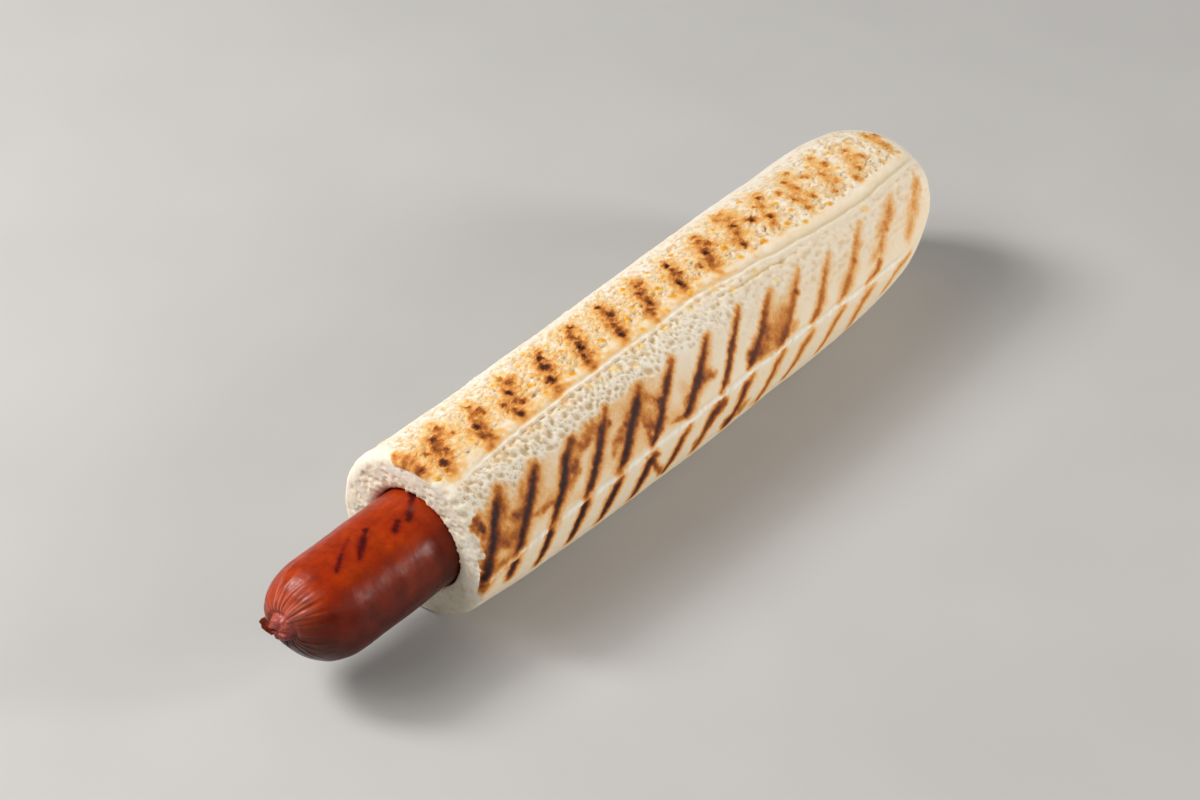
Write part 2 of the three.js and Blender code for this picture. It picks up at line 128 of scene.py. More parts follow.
# scorched patches beside the strokes: (along, angle, long and short half width in mm, turn, depth of browning)
PATCHES = [
    (2.2,57.5,4.1,2.0,1.46,0.6), (3.2,59.9,1.5,1.1,1.55,0.68), (1.6,74,4.7,0.9,1.68,0.58),
    (9.2,74.2,5.2,2.5,0.12,0.38), (14,65.5,3,1.9,-0.19,0.52), (8.5,53.4,2.4,1.7,-0.52,0.3),
    (6,90.8,2.2,1.6,-0.33,0.5), (8,78.5,4.2,1.6,0.33,0.44), (21.5,71.6,4.5,1.1,0.01,0.42),
    (18.1,58.3,4.3,2.1,0.29,0.24), (11.9,57.6,2.9,1.3,-0.89,0.38), (25.2,69.7,3,1.9,-0.46,0.24),
    (35.6,60.2,3.7,1.4,-0.5,0.6), (40.6,52.6,3.1,1.6,-0.44,0.48), (39,45.8,1.9,1.3,-0.41,0.42),
    (32.3,54.2,2.8,1,-0.83,0.34), (35.3,64.9,3.5,1.3,-0.71,0.5), (18.7,51.9,2.2,1,-0.94,0.34),
    (45.2,48.2,4.5,1.9,-0.18,0.36), (51,50.7,1.2,0.8,-0.26,0.54), (57.3,55.4,2.5,1.9,-0.31,0.34),
    (51,62.9,4.9,1.3,-0.66,0.58), (62.4,59.8,2.5,2.1,-0.02,0.3), (67.1,55.8,3.1,1.5,0.79,0.46),
    (69,58.3,1.7,1,0.55,0.5), (62.2,65.9,2.4,1.5,0.93,0.46), (61.2,74.2,2.9,1,1.46,0.56),
    (64.5,71.6,2.9,1.3,0.61,0.4), (64.9,66.7,3.7,4,-0.34,0.26), (61.7,52.3,3.1,1.4,-0.79,0.46),
    (72.8,75.7,4.2,0.7,0.26,0.52), (84.9,62.7,3.5,1.9,-0.06,0.54), (88.7,66.2,2.1,1.2,0.1,0.5),
    (76,76.4,2.4,1.3,-0.26,0.58), (78,68.1,2.1,1.6,-0.39,0.4), (72.8,52.8,2.6,1.1,-0.78,0.42),
    (105.7,69.5,5.1,2.6,-0.64,0.5), (109.1,73.9,3,2.1,-0.29,0.48), (103.4,70.9,2.9,1.9,-0.78,0.56),
    (89.8,88.5,2.9,2.0,-0.4,0.56), (85.8,94.8,3.5,2.0,-0.8,0.5), (93.3,107.5,2.6,2.2,-0.07,0.66),
    (100,106,3.4,2.2,-0.7,0.54), (57.2,99.5,2.6,2.4,-0.77,0.5), (61.2,92.3,4.5,0.9,0.89,0.5),
    (79.8,104.4,2.5,1.9,-1.1,0.4), (98.9,88.7,2.9,1.6,-0.86,0.46), (62.7,88.3,2.6,0.8,0.68,0.55),
    (116.2,67.4,5.9,3.2,-0.51,0.31), (116.3,75.9,3.9,2.2,-0.17,0.36), (112.1,65.1,3.7,1.8,-0.76,0.4),
    (122.1,74.4,2.9,1.9,-0.66,0.38), (163.7,63.6,4.9,2.0,-0.61,0.24), (173.5,51.6,5.5,1.7,-0.66,0.22),
    (186.3,57.3,6.2,3.1,-0.96,0.22), (160.8,70.5,3.9,1.3,-0.24,0.32), (181.2,61.5,5.9,4.9,-0.8,0.14),
    (166.8,56.7,5.3,1.8,-0.7,0.22), (188.9,47.9,4.2,2.0,-1.01,0.28), (159.6,79.8,4.4,1.6,-0.44,0.24)]


SMEARS = [
    (1.4,49.2,1.89,0.3), (2.4,53.1,2.1,0.45), (0.9,62.2,1.68,0.42), (0.1,58.8,1.05,0.32), (4.3,52.9,1.69,0.3),
    (3.4,68.4,2.32,0.28), (2.1,75.8,2.52,0.32), (1.1,86.8,2.1,0.36), (7.9,56.4,2.11,0.26), (9.0,63.8,1.69,0.22),
    (8.0,74.5,1.9,0.32), (11.5,75.6,1.48,0.26), (8.1,87.7,2.54,0.22), (6.4,92.9,2.11,0.2), (13.0,64.9,1.61,0.3),
    (14.9,67.3,1.7,0.22), (20.6,72.2,2.13,0.26), (23.6,72.4,1.71,0.16), (15.4,60.6,2.12,0.15),
    (11.7,61.3,1.69,0.15), (25.1,54.1,1.71,0.15), (23.9,62.8,2.14,0.12), (38.4,52.8,2.16,0.26),
    (42.7,51.5,1.74,0.36), (36.2,61.5,1.3,0.3), (32.5,68.4,1.29,0.25), (45.7,48.2,2.61,0.2), (49.8,46.4,2.18,0.2),
    (51.1,50.9,1.22,0.3), (56.0,45.6,1.75,0.1), (55.0,54.9,2.19,0.15), (57.9,51.6,1.97,0.25), (12.6,44.3,1.27,0.15),
    (25.5,43.8,1.07,0.12), (65.7,50.3,1.77,0.36), (68.7,55.4,1.55,0.34), (68.8,58.8,1.11,0.4),
    (61.5,63.0,1.32,0.42), (63.1,66.3,1.1,0.36), (60.8,69.7,1.32,0.36), (60.7,74.7,1.1,0.42), (67.3,66.1,1.77,0.36),
    (68.4,70.5,1.33,0.3), (71.2,74.3,1.55,0.26), (65.0,60.8,2.21,0.12), (63.7,51.4,2.2,0.26), (61.7,59.8,1.32,0.3),
    (85.0,64.7,2.01,0.42), (88.4,63.8,1.44,0.42), (82.0,67.0,1.79,0.36), (78.9,68.1,1.78,0.36),
    (76.9,72.7,1.78,0.3), (73.7,75.8,1.78,0.36), (78.0,61.5,1.78,0.2), (78.2,77.0,1.78,0.4), (87.1,59.3,1.79,0.2),
    (93.1,76.3,1.35,0.3), (111.2,73.0,3.65,0.26), (115.6,65.0,4.12,0.24), (119.5,58.4,2.75,0.28),
    (107.7,75.6,2.27,0.42), (111.1,76.9,1.82,0.3), (118.3,70.7,3.21,0.28), (116.0,76.8,2.29,0.26),
    (111.9,67.2,2.74,0.25), (122.2,61.7,2.3,0.3), (89.4,91.1,2.02,0.5), (86.1,89.1,1.57,0.4), (90.2,86.8,1.35,0.45),
    (99.7,109.7,1.36,0.4), (104.2,109.4,1.36,0.35), (66.3,105.8,1.32,0.4), (93.1,110.3,1.35,0.4),
    (148.0,71.8,2.34,0.36), (145.1,75.6,2.34,0.38), (152.1,67.2,1.88,0.22), (157.0,57.9,1.41,0.22),
    (173.7,50.2,2.38,0.26), (172.9,53.6,1.9,0.3), (167.2,63.0,2.37,0.26), (164.0,70.2,2.37,0.36),
    (160.5,71.5,1.89,0.26), (169.0,72.2,1.42,0.2), (157.7,81.7,2.36,0.2), (169.0,58.3,1.66,0.3),
    (190.2,47.6,1.45,0.3), (186.3,54.6,1.92,0.3), (183.6,60.6,2.4,0.26), (181.2,66.7,2.87,0.22),
    (178.9,71.8,2.87,0.22), (177.4,77.1,2.39,0.16), (180.9,49.2,1.2,0.15), (132.1,77.4,1.85,0.3),
    (130.0,78.5,1.39,0.35), (135.7,71.3,2.32,0.2)]

DOTS = [
    (0.0,-5.9,0.9,0.9), (0.6,7.8,0.99,0.8), (5.7,0.8,0.72,0.7), (10.6,-5.5,0.99,0.85), (10.0,6.4,0.72,0.75),
    (6.3,12.9,0.99,0.95), (14.8,-11.9,0.9,0.7), (15.6,-1.3,0.63,0.6), (21.3,5.0,0.81,1), (26.3,-2.2,0.81,0.75),
    (21.4,15.1,0.81,0.75), (26.2,-13.3,0.81,0.7), (36.4,-2.7,0.9,1), (32.0,3.1,0.72,0.8), (36.3,8.0,0.81,0.75),
    (32.4,14.9,0.81,1), (40.7,-10.7,0.72,0.6), (0.8,-15.4,0.81,0.6), (52.0,-10.6,0.85,1), (50.0,-2.8,1.16,1),
    (47.1,8.2,0.99,1), (67.8,-18.5,0.81,1), (61.9,1.6,0.99,1), (63.8,-10.5,0.81,0.75), (60.0,7.4,0.72,0.85),
    (58.9,12.5,0.72,0.75), (78.5,-17.9,0.67,1), (77.5,-5.9,0.9,0.95), (72.9,11.5,0.85,1), (73.9,7.3,0.81,0.75),
    (74.7,1.9,0.72,0.7), (87.7,5.6,0.85,0.85), (89.1,-4.7,0.81,0.75), (93.0,-11.8,0.81,0.7), (103.7,-11.2,0.76,1),
    (103.0,-0.3,0.76,0.8), (99.5,6.4,0.94,1), (114.2,0.1,0.9,1), (118.2,-4.7,0.9,0.7), (119.0,-17.1,0.81,0.6),
    (112.8,6.1,0.81,0.7), (108.8,5.8,0.72,0.65), (128.6,-4.5,0.85,1), (124.5,11.6,0.81,1), (126.6,1.9,0.72,0.75),
    (134.2,0.9,0.9,0.95), (133.3,-1.1,0.67,0.8), (143.9,-10.5,0.76,0.95), (139.4,-4.8,0.67,0.8), (138.9,6.9,0.85,1),
    (154.5,-9.3,0.72,0.9), (154.1,2.1,0.76,0.75), (149.5,7.7,0.72,0.85), (149.1,-3.7,0.76,0.7),
    (159.1,-15.3,0.67,0.65), (155.0,13.3,0.76,0.75), (150.2,18.1,0.72,0.7), (169.1,-13.3,0.72,0.7),
    (168.6,-1.5,0.81,0.75), (159.5,-3.0,0.67,0.75), (160.6,-1.3,0.63,0.6), (164.0,4.4,0.63,0.7),
    (165.2,14.1,0.72,0.55), (161.2,19.4,0.58,0.7), (177.8,-0.1,0.72,0.65), (179.0,10.8,0.72,0.7),
    (174.6,16.6,0.67,0.75), (170.7,20.5,0.76,0.8), (193.6,-2.5,0.67,0.85), (189.6,-3.6,0.76,0.6)]

DOTS2 = [
    (1.7,53.3,0.59,0.5), (55.7,57.8,0.74,0.8), (95.5,107.8,0.9,0.85), (70.3,60.1,0.53,0.6), (127.8,55.8,0.69,0.85),
    (152.5,63.7,0.75,0.75), (169.0,60.1,0.62,0.55), (162.4,76.8,0.71,0.6)]

BLOBS = [
    (0.5,-14.0,2.24,0.55), (0.2,-3.2,2.91,0.6), (0.5,8.8,2.69,0.55), (4.3,-3.6,2.46,0.35), (5.5,1.5,2.02,0.5),
    (2.8,9.0,2.24,0.3), (14.7,-11.2,2.24,0.7), (10.5,-4.8,2.46,0.7), (7.7,4.6,2.69,0.55), (10.2,6.6,2.02,0.55),
    (6.2,14.0,2.24,0.6), (5.3,20.5,2.24,0.5), (10.2,0.6,2.24,0.5), (15.6,-1.3,1.57,0.4), (14.4,-4.0,1.79,0.4),
    (26.0,-12.5,1.7,0.65), (24.6,-4.8,2.02,0.6), (26.1,-1.3,1.7,0.55), (21.4,5.6,2.02,0.65), (20.5,12.5,2.46,0.65),
    (21.4,15.3,1.7,0.6), (16.9,10.2,1.57,0.4), (18.9,6.6,1.57,0.3), (31.0,-8.0,2.02,0.3), (18.2,19.7,1.57,0.35),
    (40.1,-16.9,1.79,0.4), (40.2,-9.8,2.02,0.55), (36.1,-2.4,1.79,0.7), (32.0,3.1,1.79,0.6), (35.0,4.7,2.24,0.6),
    (36.2,8.2,1.79,0.65), (31.7,8.4,1.79,0.5), (32.3,14.7,1.7,0.7), (42.1,-12.4,1.34,0.3), (52.0,-10.6,1.7,0.65),
    (49.7,-2.8,2.69,0.75), (47.1,8.5,1.88,0.75), (47.8,-2.2,1.7,0.5), (46.2,14.4,1.57,0.5), (54.3,-16.8,1.57,0.4),
    (51.3,2.0,1.57,0.25), (42.5,14.1,1.25,0.3), (67.7,-18.0,1.43,0.6), (63.8,-10.5,2.24,0.75), (62.8,-2.7,1.79,0.6),
    (61.8,2.0,1.88,0.8), (60.0,8.0,1.88,0.85), (58.5,14.1,2.02,0.7), (62.5,11.8,1.43,0.3), (59.4,3.9,1.57,0.4),
    (58.2,18.2,1.12,0.4), (78.3,-17.4,1.34,0.6), (77.5,-5.9,1.88,0.75), (77.6,-10.6,1.7,0.65), (74.8,1.3,1.88,0.75),
    (73.8,7.3,2.15,0.8), (72.9,11.5,1.88,0.75), (79.7,-9.1,1.34,0.3), (72.9,-11.1,1.34,0.25), (92.7,-11.4,1.88,0.7),
    (89.1,-4.7,1.7,0.75), (88.7,0.7,1.7,0.55), (87.7,5.6,1.88,0.75), (85.5,9.8,2.02,0.6), (84.3,12.0,1.57,0.4),
    (85.6,-9.5,1.12,0.25), (103.6,-10.8,1.43,0.65), (102.9,-4.5,1.57,0.65), (102.9,-0.3,1.61,0.75),
    (99.6,6.4,2.02,0.85), (99.1,11.1,1.52,0.55), (99.2,1.6,1.34,0.4), (119.0,-17.1,1.61,0.65),
    (116.3,-9.5,1.52,0.45), (118.0,-4.8,1.88,0.7), (114.3,0.4,1.79,0.75), (112.7,6.5,1.88,0.75),
    (111.0,12.5,1.43,0.4), (113.4,12.4,1.43,0.35), (119.1,0.3,1.43,0.45), (108.9,5.6,1.52,0.5),
    (113.8,-10.9,1.34,0.35), (129.1,-18.6,1.88,0.5), (133.5,-21.2,1.7,0.4), (123.8,-12.1,1.25,0.3),
    (128.6,-4.3,1.79,0.75), (126.6,1.9,1.88,0.75), (125.4,6.8,1.61,0.6), (124.5,11.6,1.7,0.75),
    (129.1,-17.8,1.79,0.5), (134.0,-21.3,1.61,0.4), (122.7,5.1,2.02,0.4), (134.3,-12.2,1.61,0.35),
    (120.3,2.7,1.57,0.4), (134.2,0.9,1.52,0.7), (133.0,-2.0,1.34,0.6), (135.4,4.0,1.25,0.45),
    (143.8,-10.0,1.61,0.65), (139.4,-4.8,1.43,0.65), (141.4,-2.2,1.7,0.55), (138.9,6.9,1.61,0.75),
    (138.0,11.7,1.61,0.45), (146.2,-14.6,1.34,0.45), (137.1,4.6,1.34,0.35), (154.4,-9.0,1.43,0.65),
    (159.1,-15.3,1.43,0.55), (149.1,-3.7,1.7,0.6), (147.3,-2.5,1.43,0.35), (154.2,-2.9,1.61,0.5),
    (154.1,2.1,1.52,0.65), (149.5,7.7,1.52,0.65), (151.0,11.2,1.7,0.55), (155.0,13.3,1.52,0.65),
    (150.2,18.1,1.16,0.6), (154.4,9.8,1.61,0.45), (157.9,10.9,1.34,0.3), (149.3,4.6,1.34,0.4),
    (169.1,-13.3,1.43,0.6), (168.6,-1.5,1.52,0.65), (159.9,-2.2,1.88,0.6), (157.7,-5.4,1.16,0.35),
    (162.2,-0.1,1.61,0.4), (164.0,4.4,1.52,0.6), (163.4,10.0,1.7,0.5), (165.2,14.1,1.61,0.5),
    (161.2,19.4,1.08,0.55), (166.0,-7.0,1.34,0.35), (167.5,6.8,1.61,0.3), (177.8,-0.1,1.52,0.55),
    (181.6,-4.3,1.88,0.4), (175.3,6.3,1.61,0.5), (179.0,10.8,1.34,0.6), (174.6,16.6,1.43,0.55),
    (170.7,20.7,1.16,0.65), (171.1,23.5,0.99,0.5), (173.9,-7.0,1.34,0.35), (170.4,15.0,1.79,0.25),
    (177.7,7.3,1.79,0.35), (189.3,-2.7,1.79,0.5), (192.5,-0.5,1.88,0.6), (189.5,8.1,2.15,0.5),
    (190.2,13.9,1.88,0.45), (184.5,16.1,1.88,0.25), (190.0,19.7,1.34,0.25)]

BLISTERS = [
    (46.8,-16.5,0.63,0.7), (57.2,-4.7,0.72,0.9), (41.9,2.1,0.72,0.9), (52.3,13.2,0.76,0.9), (42.5,13.5,0.67,0.6),
    (1.4,20.1,0.9,0.7), (16.9,10.2,0.81,0.5), (52.2,-24.2,0.54,0.5), (36.7,-16.4,0.54,0.5), (57.2,-4.9,0.67,0.9),
    (52.5,13.2,0.76,0.9), (67.5,6.4,0.81,1), (78.4,5.3,0.81,0.9), (88.5,-16.8,0.72,0.85), (83.2,0.5,0.67,0.7),
    (93.5,0.5,0.85,1), (98.2,-16.5,0.58,0.7), (94.0,11.5,0.9,1), (98.6,-4.3,0.63,0.7), (108.6,-16.8,0.67,0.8),
    (108.6,-4.6,0.67,0.7), (103.9,11.5,0.67,0.7), (119.0,5.9,0.81,1), (124.2,-11.7,0.63,0.5), (98.7,16.6,0.72,0.6),
    (88.7,17.0,0.72,0.4), (78.5,17.2,0.81,0.35), (63.1,26.1,0.9,0.45), (73.8,24.4,0.9,0.85), (83.8,24.1,0.9,0.7),
    (94.2,23.9,0.72,0.5), (68.4,31.6,0.72,0.2), (105.1,23.1,0.81,0.3), (103.6,-22.9,0.54,0.4),
    (124.4,-25.1,0.54,0.4), (93.8,-24.4,0.49,0.4), (57.6,-18.1,0.58,0.5), (62.9,-24.8,0.54,0.4),
    (73.2,-24.8,0.45,0.4), (53.2,25.3,0.81,0.2), (109.7,30.8,0.81,0.25), (119.6,30.3,0.72,0.3),
    (123.8,43.0,0.54,0.6), (119.2,5.9,0.72,1), (129.0,5.8,0.72,0.8), (139.7,-18.2,0.72,0.6), (144.3,1.6,0.76,0.7),
    (145.1,12.6,0.67,0.5), (140.2,18.4,0.76,0.9), (129.8,18.3,0.9,0.8), (119.6,17.8,0.81,0.4),
    (156.2,24.5,0.72,0.5), (144.9,24.5,0.81,0.35), (164.5,-8.4,0.67,0.7), (169.5,7.6,0.63,0.6),
    (149.6,-17.0,0.49,0.4), (155.0,-22.9,0.49,0.4), (123.8,43.0,0.49,0.6), (165.3,40.8,0.9,0.4),
    (173.9,-7.0,0.63,0.6), (124.4,-24.2,0.54,0.4)]

def sm(x):
    x = np.clip(x, 0.0, 1.0)
    return x * x * (3 - 2 * x)


def band(x, a, b, c, d):
    """0 below a, rises to 1 between a and b, falls to 0 between c and d"""
    return sm((x - a) / (b - a)) * (1 - sm((x - c) / (d - c)))


def fold(d):
    return (d + 180.0) % 360.0 - 180.0


# ---- noise on points (numpy, seeded, the same on every run) -----------------
def _hash(ix, iy, iz, seed):
    h = (ix * 374761393 + iy * 668265263 + iz * 1442695041 + seed * 974634777) & 0xFFFFFFFF
    h = ((h ^ (h >> 15)) * 2246822519) & 0xFFFFFFFF
    h = ((h ^ (h >> 13)) * 3266489917) & 0xFFFFFFFF
    return h ^ (h >> 16)


_G = np.array([[1, 1, 0], [-1, 1, 0], [1, -1, 0], [-1, -1, 0], [1, 0, 1], [-1, 0, 1],
               [1, 0, -1], [-1, 0, -1], [0, 1, 1], [0, -1, 1], [0, 1, -1], [0, -1, -1]], float)


def perlin(p, seed=0):
    i = np.floor(p).astype(np.int64)
    f = p - i
    u = f * f * f * (f * (f * 6 - 15) + 10)
    out = np.zeros(p.shape[:-1])
    for dx in (0, 1):
        wx = u[..., 0] if dx else 1 - u[..., 0]
        for dy in (0, 1):
            wy = u[..., 1] if dy else 1 - u[..., 1]
            for dz in (0, 1):
                wz = u[..., 2] if dz else 1 - u[..., 2]
                g = _G[_hash(i[..., 0] + dx, i[..., 1] + dy, i[..., 2] + dz, seed) % 12]
                out += wx * wy * wz * (g[..., 0] * (f[..., 0] - dx) + g[..., 1] * (f[..., 1] - dy)
                                       + g[..., 2] * (f[..., 2] - dz))
    return out


def line_noise(x, seed=0):
    """noise along one number"""
    x = np.asarray(x, float)
    return perlin(np.stack([x, np.full_like(x, 0.37), np.full_like(x, 7.13 + seed)], -1), seed)


def worley(p, seed=0):
    """distances to the nearest and second nearest of scattered points"""
    i = np.floor(p).astype(np.int64)
    f1 = np.full(p.shape[:-1], 9.0)
    f2 = np.full(p.shape[:-1], 9.0)
    for dx in (-1, 0, 1):
        for dy in (-1, 0, 1):
            for dz in (-1, 0, 1):
                cx, cy, cz = i[..., 0] + dx, i[..., 1] + dy, i[..., 2] + dz
                jx = _hash(cx, cy, cz, seed) / 4294967296.0
                jy = _hash(cx, cy, cz, seed + 101) / 4294967296.0
                jz = _hash(cx, cy, cz, seed + 202) / 4294967296.0
                d = np.sqrt((cx + jx - p[..., 0]) ** 2 + (cy + jy - p[..., 1]) ** 2 + (cz + jz - p[..., 2]) ** 2)
                closer = d < f1
                f2 = np.where(closer, f1, np.minimum(f2, d))
                f1 = np.where(closer, d, f1)
    return f1, f2


# ---- the roll's form ----------------------------------------------------------
def crease_angle(c, s):
    s = np.asarray(s, float)
    return (c["base"] + c["near"] * np.exp(-np.maximum(s, 0) / c["decay"])
            + c["far"] * sm((s - c["fr"]) / (c["to"] - c["fr"])) + c["end"] * sm((s - 165) / (L - 165)))


def bun_radius(s):
    t = np.clip(s / L, 0, 1)
    body = R0 + 4.314 * t - 1.7085 * t ** 2 - 2.4933 * t ** 3
    u = np.clip((s - (L - CAP_L)) / CAP_L, 0, 1)
    return body * np.maximum(1 - u * u, 0) ** CAP_P


def bun_y(s):
    far = np.clip((s / L - 0.5) / 0.5, 0, 1)
    return 6.677 * np.exp(-np.maximum(s, 0) / 60.55) - 1.267 * far * far


def bun_section(s, th):
    t = np.clip(s / L, 0, 1)
    c1, c2 = crease_angle(CREASE1, s), crease_angle(CREASE2, s)
    cap = bun_radius(s)
    fade = sm(cap / R0 * 1.6 - 0.6)
    q = fold(th - (c1 + c2) / 2) / ((c2 - c1) / 2)
    r = cap - np.where(np.abs(q) < 1, 0.55 * np.cos(np.clip(q, -1, 1) * np.pi / 2) ** 2 * fade, 0)
    g = np.clip((t - 0.72) / 0.28, 0, 1)
    w = np.clip(np.cos(np.radians(fold(th - 128))), 0, 1) ** 2
    return r * (1 - (0.1688 * g * g + 0.2149 * g ** 4) * w)


def skin_point(s, r, th):
    a = np.radians(th)
    s, r, a = np.broadcast_arrays(s, r, a)
    return np.stack([s, bun_y(s) - r * np.sin(a), AXIS_Z + r * np.cos(a)], -1)


def saus_y(s):
    s = np.asarray(s, float)
    return np.where(s < 0, 5.42 - 0.058 * s, 5.42 * np.exp(-np.maximum(s, 0) * 0.058 / 5.42))


def saus_z(s):
    s = np.asarray(s, float)
    return np.where(s < 0, 23.9 + 0.031 * s, 23.9 + 0.8 * (1 - np.exp(-np.maximum(s, 0) * 0.031 / 0.8)))


def round_point(s, r, th):
    a = np.radians(th)
    s, r, a = np.broadcast_arrays(np.asarray(s, float), r, a)
    return np.stack([s, saus_y(s) - r * np.sin(a), saus_z(s) + r * np.cos(a)], -1)


def grid_normals(P):
    """outward normals of a grid of points (rows along, columns round and closed)"""
    di = np.gradient(P, axis=0)
    dj = np.roll(P, -1, 1) - np.roll(P, 1, 1)
    n = np.cross(dj, di)
    n /= np.maximum(np.linalg.norm(n, axis=-1, keepdims=True), 1e-9)
    return n


# ---------------------------------------------------------------------------
# Roll: one closed mesh of skin, cut face and bore
# ---------------------------------------------------------------------------
NC = 228                  # columns round the skin
NF = 300                  # columns round the cut face
NB = 60                   # columns round the hidden bore

# rows of the skin, at an even distance along its profile, closer at the cut end
_ss = np.concatenate([np.linspace(3.7, L - CAP_L, 1200)[:-1], L - CAP_L + CAP_L * np.sin(np.linspace(0, 1, 900) ** 0.7 * np.pi / 2)])
_rr = bun_radius(_ss)
_step = np.hypot(np.diff(_ss), np.diff(_rr))
_dens = 1.0 / np.interp(_ss[1:], [0, 90, 130, L], [0.487, 0.487, 0.62, 0.68])
_cum = np.concatenate([[0], np.cumsum(_step * _dens)])
NSKIN = int(round(_cum[-1]))
row_s = np.interp(np.linspace(0, _cum[-1], NSKIN + 1)[:-1], _cum, _ss)


def column_angles(s):
    s = np.atleast_1d(s)
    c1, c2 = crease_angle(CREASE1, s), crease_angle(CREASE2, s)
    k = np.arange(NC)
    ks = [0, 60, 132, 186, 228]
    out = np.empty((len(s), NC))
    for i in range(len(s)):
        out[i] = np.interp(k, ks, [131 - 360, -54, c1[i], c2[i], 131])
    return out


def rim_round(th):
    return 1.6 + 1.7 * np.clip(np.cos(np.radians(fold(th + 40))), 0, 1) ** 2


rim_th = column_angles([0.0])[0]
rows_S, rows_T, rows_P, rows_rim = [], [], [], []
for q in (90, 72, 54, 36, 18, 0):
    rnd = rim_round(rim_th)
    a = math.radians(q)
    r = bun_section(rnd, rim_th) - rnd * (1 - math.cos(a))
    s = rnd * (1 - math.sin(a))
    rows_S.append(s)
    rows_T.append(rim_th)
    rows_P.append(skin_point(s, r, rim_th))
    rows_rim.append(np.full(NC, q / 90.0))
for f in (0.3, 0.6, 0.85):
    s = rim_round(rim_th) + (3.7 - rim_round(rim_th)) * f
    rows_S.append(s)
    rows_T.append(rim_th)
    rows_P.append(skin_point(s, bun_section(s, rim_th), rim_th))
    rows_rim.append(np.zeros(NC))
T = column_angles(row_s)
for i, s in enumerate(row_s):
    rows_S.append(np.full(NC, s))
    rows_T.append(T[i])
    rows_P.append(skin_point(np.full(NC, s), bun_section(np.full(NC, s), T[i]), T[i]))
    rows_rim.append(np.zeros(NC))
S = np.array(rows_S)
TH = np.array(rows_T)
P0 = np.array(rows_P)
RIM = np.array(rows_rim)
N0 = grid_normals(P0)
RAD = bun_radius(np.maximum(S, 1.0))
RADW = np.maximum(RAD, 6.0)

# distance in mm below each crease; the lines wander a little
wob1 = 0.55 * line_noise(S / 13.0, 3) + 0.22 * line_noise(S / 3.1, 4) * (1 - 0.6 * sm((S - 96) / 20.0)) + 0.35 * sm((S - 96) / 20.0) * line_noise(S / 6.5, 8)
wob2 = 0.45 * line_noise(S / 8.0, 5) + 0.25 * line_noise(S / 2.4, 6)
D1 = RADW * np.radians(fold(TH - crease_angle(CREASE1, S))) - wob1
D2 = RADW * np.radians(fold(TH - crease_angle(CREASE2, S))) - wob2
END = sm((L - S) / 14.0)                         # fades things out at the closed end
POLE = sm((RAD - 1.5) / 11.0)                    # and round the middle of that end
MOUTH = 1 - RIM                                  # and at the rim

h = np.zeros_like(S)
pit = np.zeros_like(S)

# slow unevenness of hand-sized dough, then gentle lumps
h += 0.30 * perlin(P0 / 21.0, 11) + 0.13 * perlin(P0 / 7.5, 12)

# zones
z_top = band(D1, -34, -22, -4.4, -2.8) * MOUTH
z_topcore = band(D1, -22, -14, -4.4, -3.1) * MOUTH
z_strip = band(D1, -4.6, -3.4, -0.55, -0.15) * MOUTH
z_top, z_topcore = z_top * sm((L - 3.0 - S) / 9.0), z_topcore * sm((L - 4.0 - S) / 9.0)
pore_fade = 1 - sm((S - 84) / 46.0)
pore_low = 8.4 + 1.6 * line_noise(S / 9.0, 9)
z_pore = sm((D1 - 0.9) / 0.8) * (1 - sm((D1 - pore_low) / 3.2))
z_side = sm((D1 - 5) / 5.0) * (1 - sm((D2 + 0.8) / 1.2))
z_low = sm((D2 - 0.5 + 0.5 * sm((S - 150) / 30)) / (1.0 + 13.0 * sm((S - 152) / 30))) * (1 - sm((D2 - 24) / 16))
TW = fold(TH)

# warped coordinates so that pits and marks get uneven outlines
NX = 0.34 * perlin(P0 / 1.5, 21) + 0.16 * perlin(P0 / 0.9, 22)
NY = 0.34 * perlin(P0 / 1.5, 23) + 0.16 * perlin(P0 / 0.9, 24)
row_lo = S.min(1)

# the cut crumb laps over the rim, and its edge on the skin is torn
lap = -0.35 + 2.2 * band(TH, 20, 30, 46, 56) + 1.7 * band(TH, -80, -50, -30, -20) - 2.1 * band(TH, -21, -13, 14, 24) - 1.9 * band(TH, 74, 84, 106, 116)
crumb_edge = rim_round(TH) * 0.7 + 0.1 + lap + (1.7 * perlin(P0 / 2.4, 93) + 1.1 * perlin(P0 / 1.05, 94)) * (1 - 0.5 * band(TH, -24, -16, 16, 26))
CR = 1 - sm((S - crumb_edge + 0.45) / 0.9)


def crumb_relief(p):
    return 0.22 * perlin(p / 3.4, 103) + 0.11 * perlin(p / 1.7, 104) + 0.045 * perlin(p / 0.95, 105)


def rows_near(s0, reach):
    a = int(np.searchsorted(row_lo, s0 - reach - 2.0))
    b = int(np.searchsorted(row_lo, s0 + reach + 0.1))
    return slice(max(a - 1, 0), min(b + 1, len(row_lo)))


def local(s0, th0, rows):
    """mm along and mm round from a point of the skin, at the rows given"""
    return S[rows] - s0, RADW[rows] * np.radians(fold(TH[rows] - th0))


def press_pit(s0, th0, ra, rb, turn, depth, warp=1.0, rim=0.12, slope=0.72):
    rows = rows_near(s0, max(ra, rb) * 1.8 + 0.6)
    x, y = local(s0, th0, rows)
    x = x + NX[rows] * warp
    y = y + NY[rows] * warp
    c, s_ = math.cos(turn), math.sin(turn)
    u, v = (x * c + y * s_) / ra, (-x * s_ + y * c) / rb
    d = np.sqrt(u * u + v * v)
    cut = depth * sm((1.14 - d) / slope)
    pit[rows] = np.maximum(pit[rows], cut)
    h[rows] += rim * depth * np.exp(-((d - 1.3) / 0.28) ** 2)


rng = np.random.default_rng(7190)


def theta_at(s, d1):
    return float(crease_angle(CREASE1, s)) + math.degrees(d1 / float(bun_radius(np.array(s))))


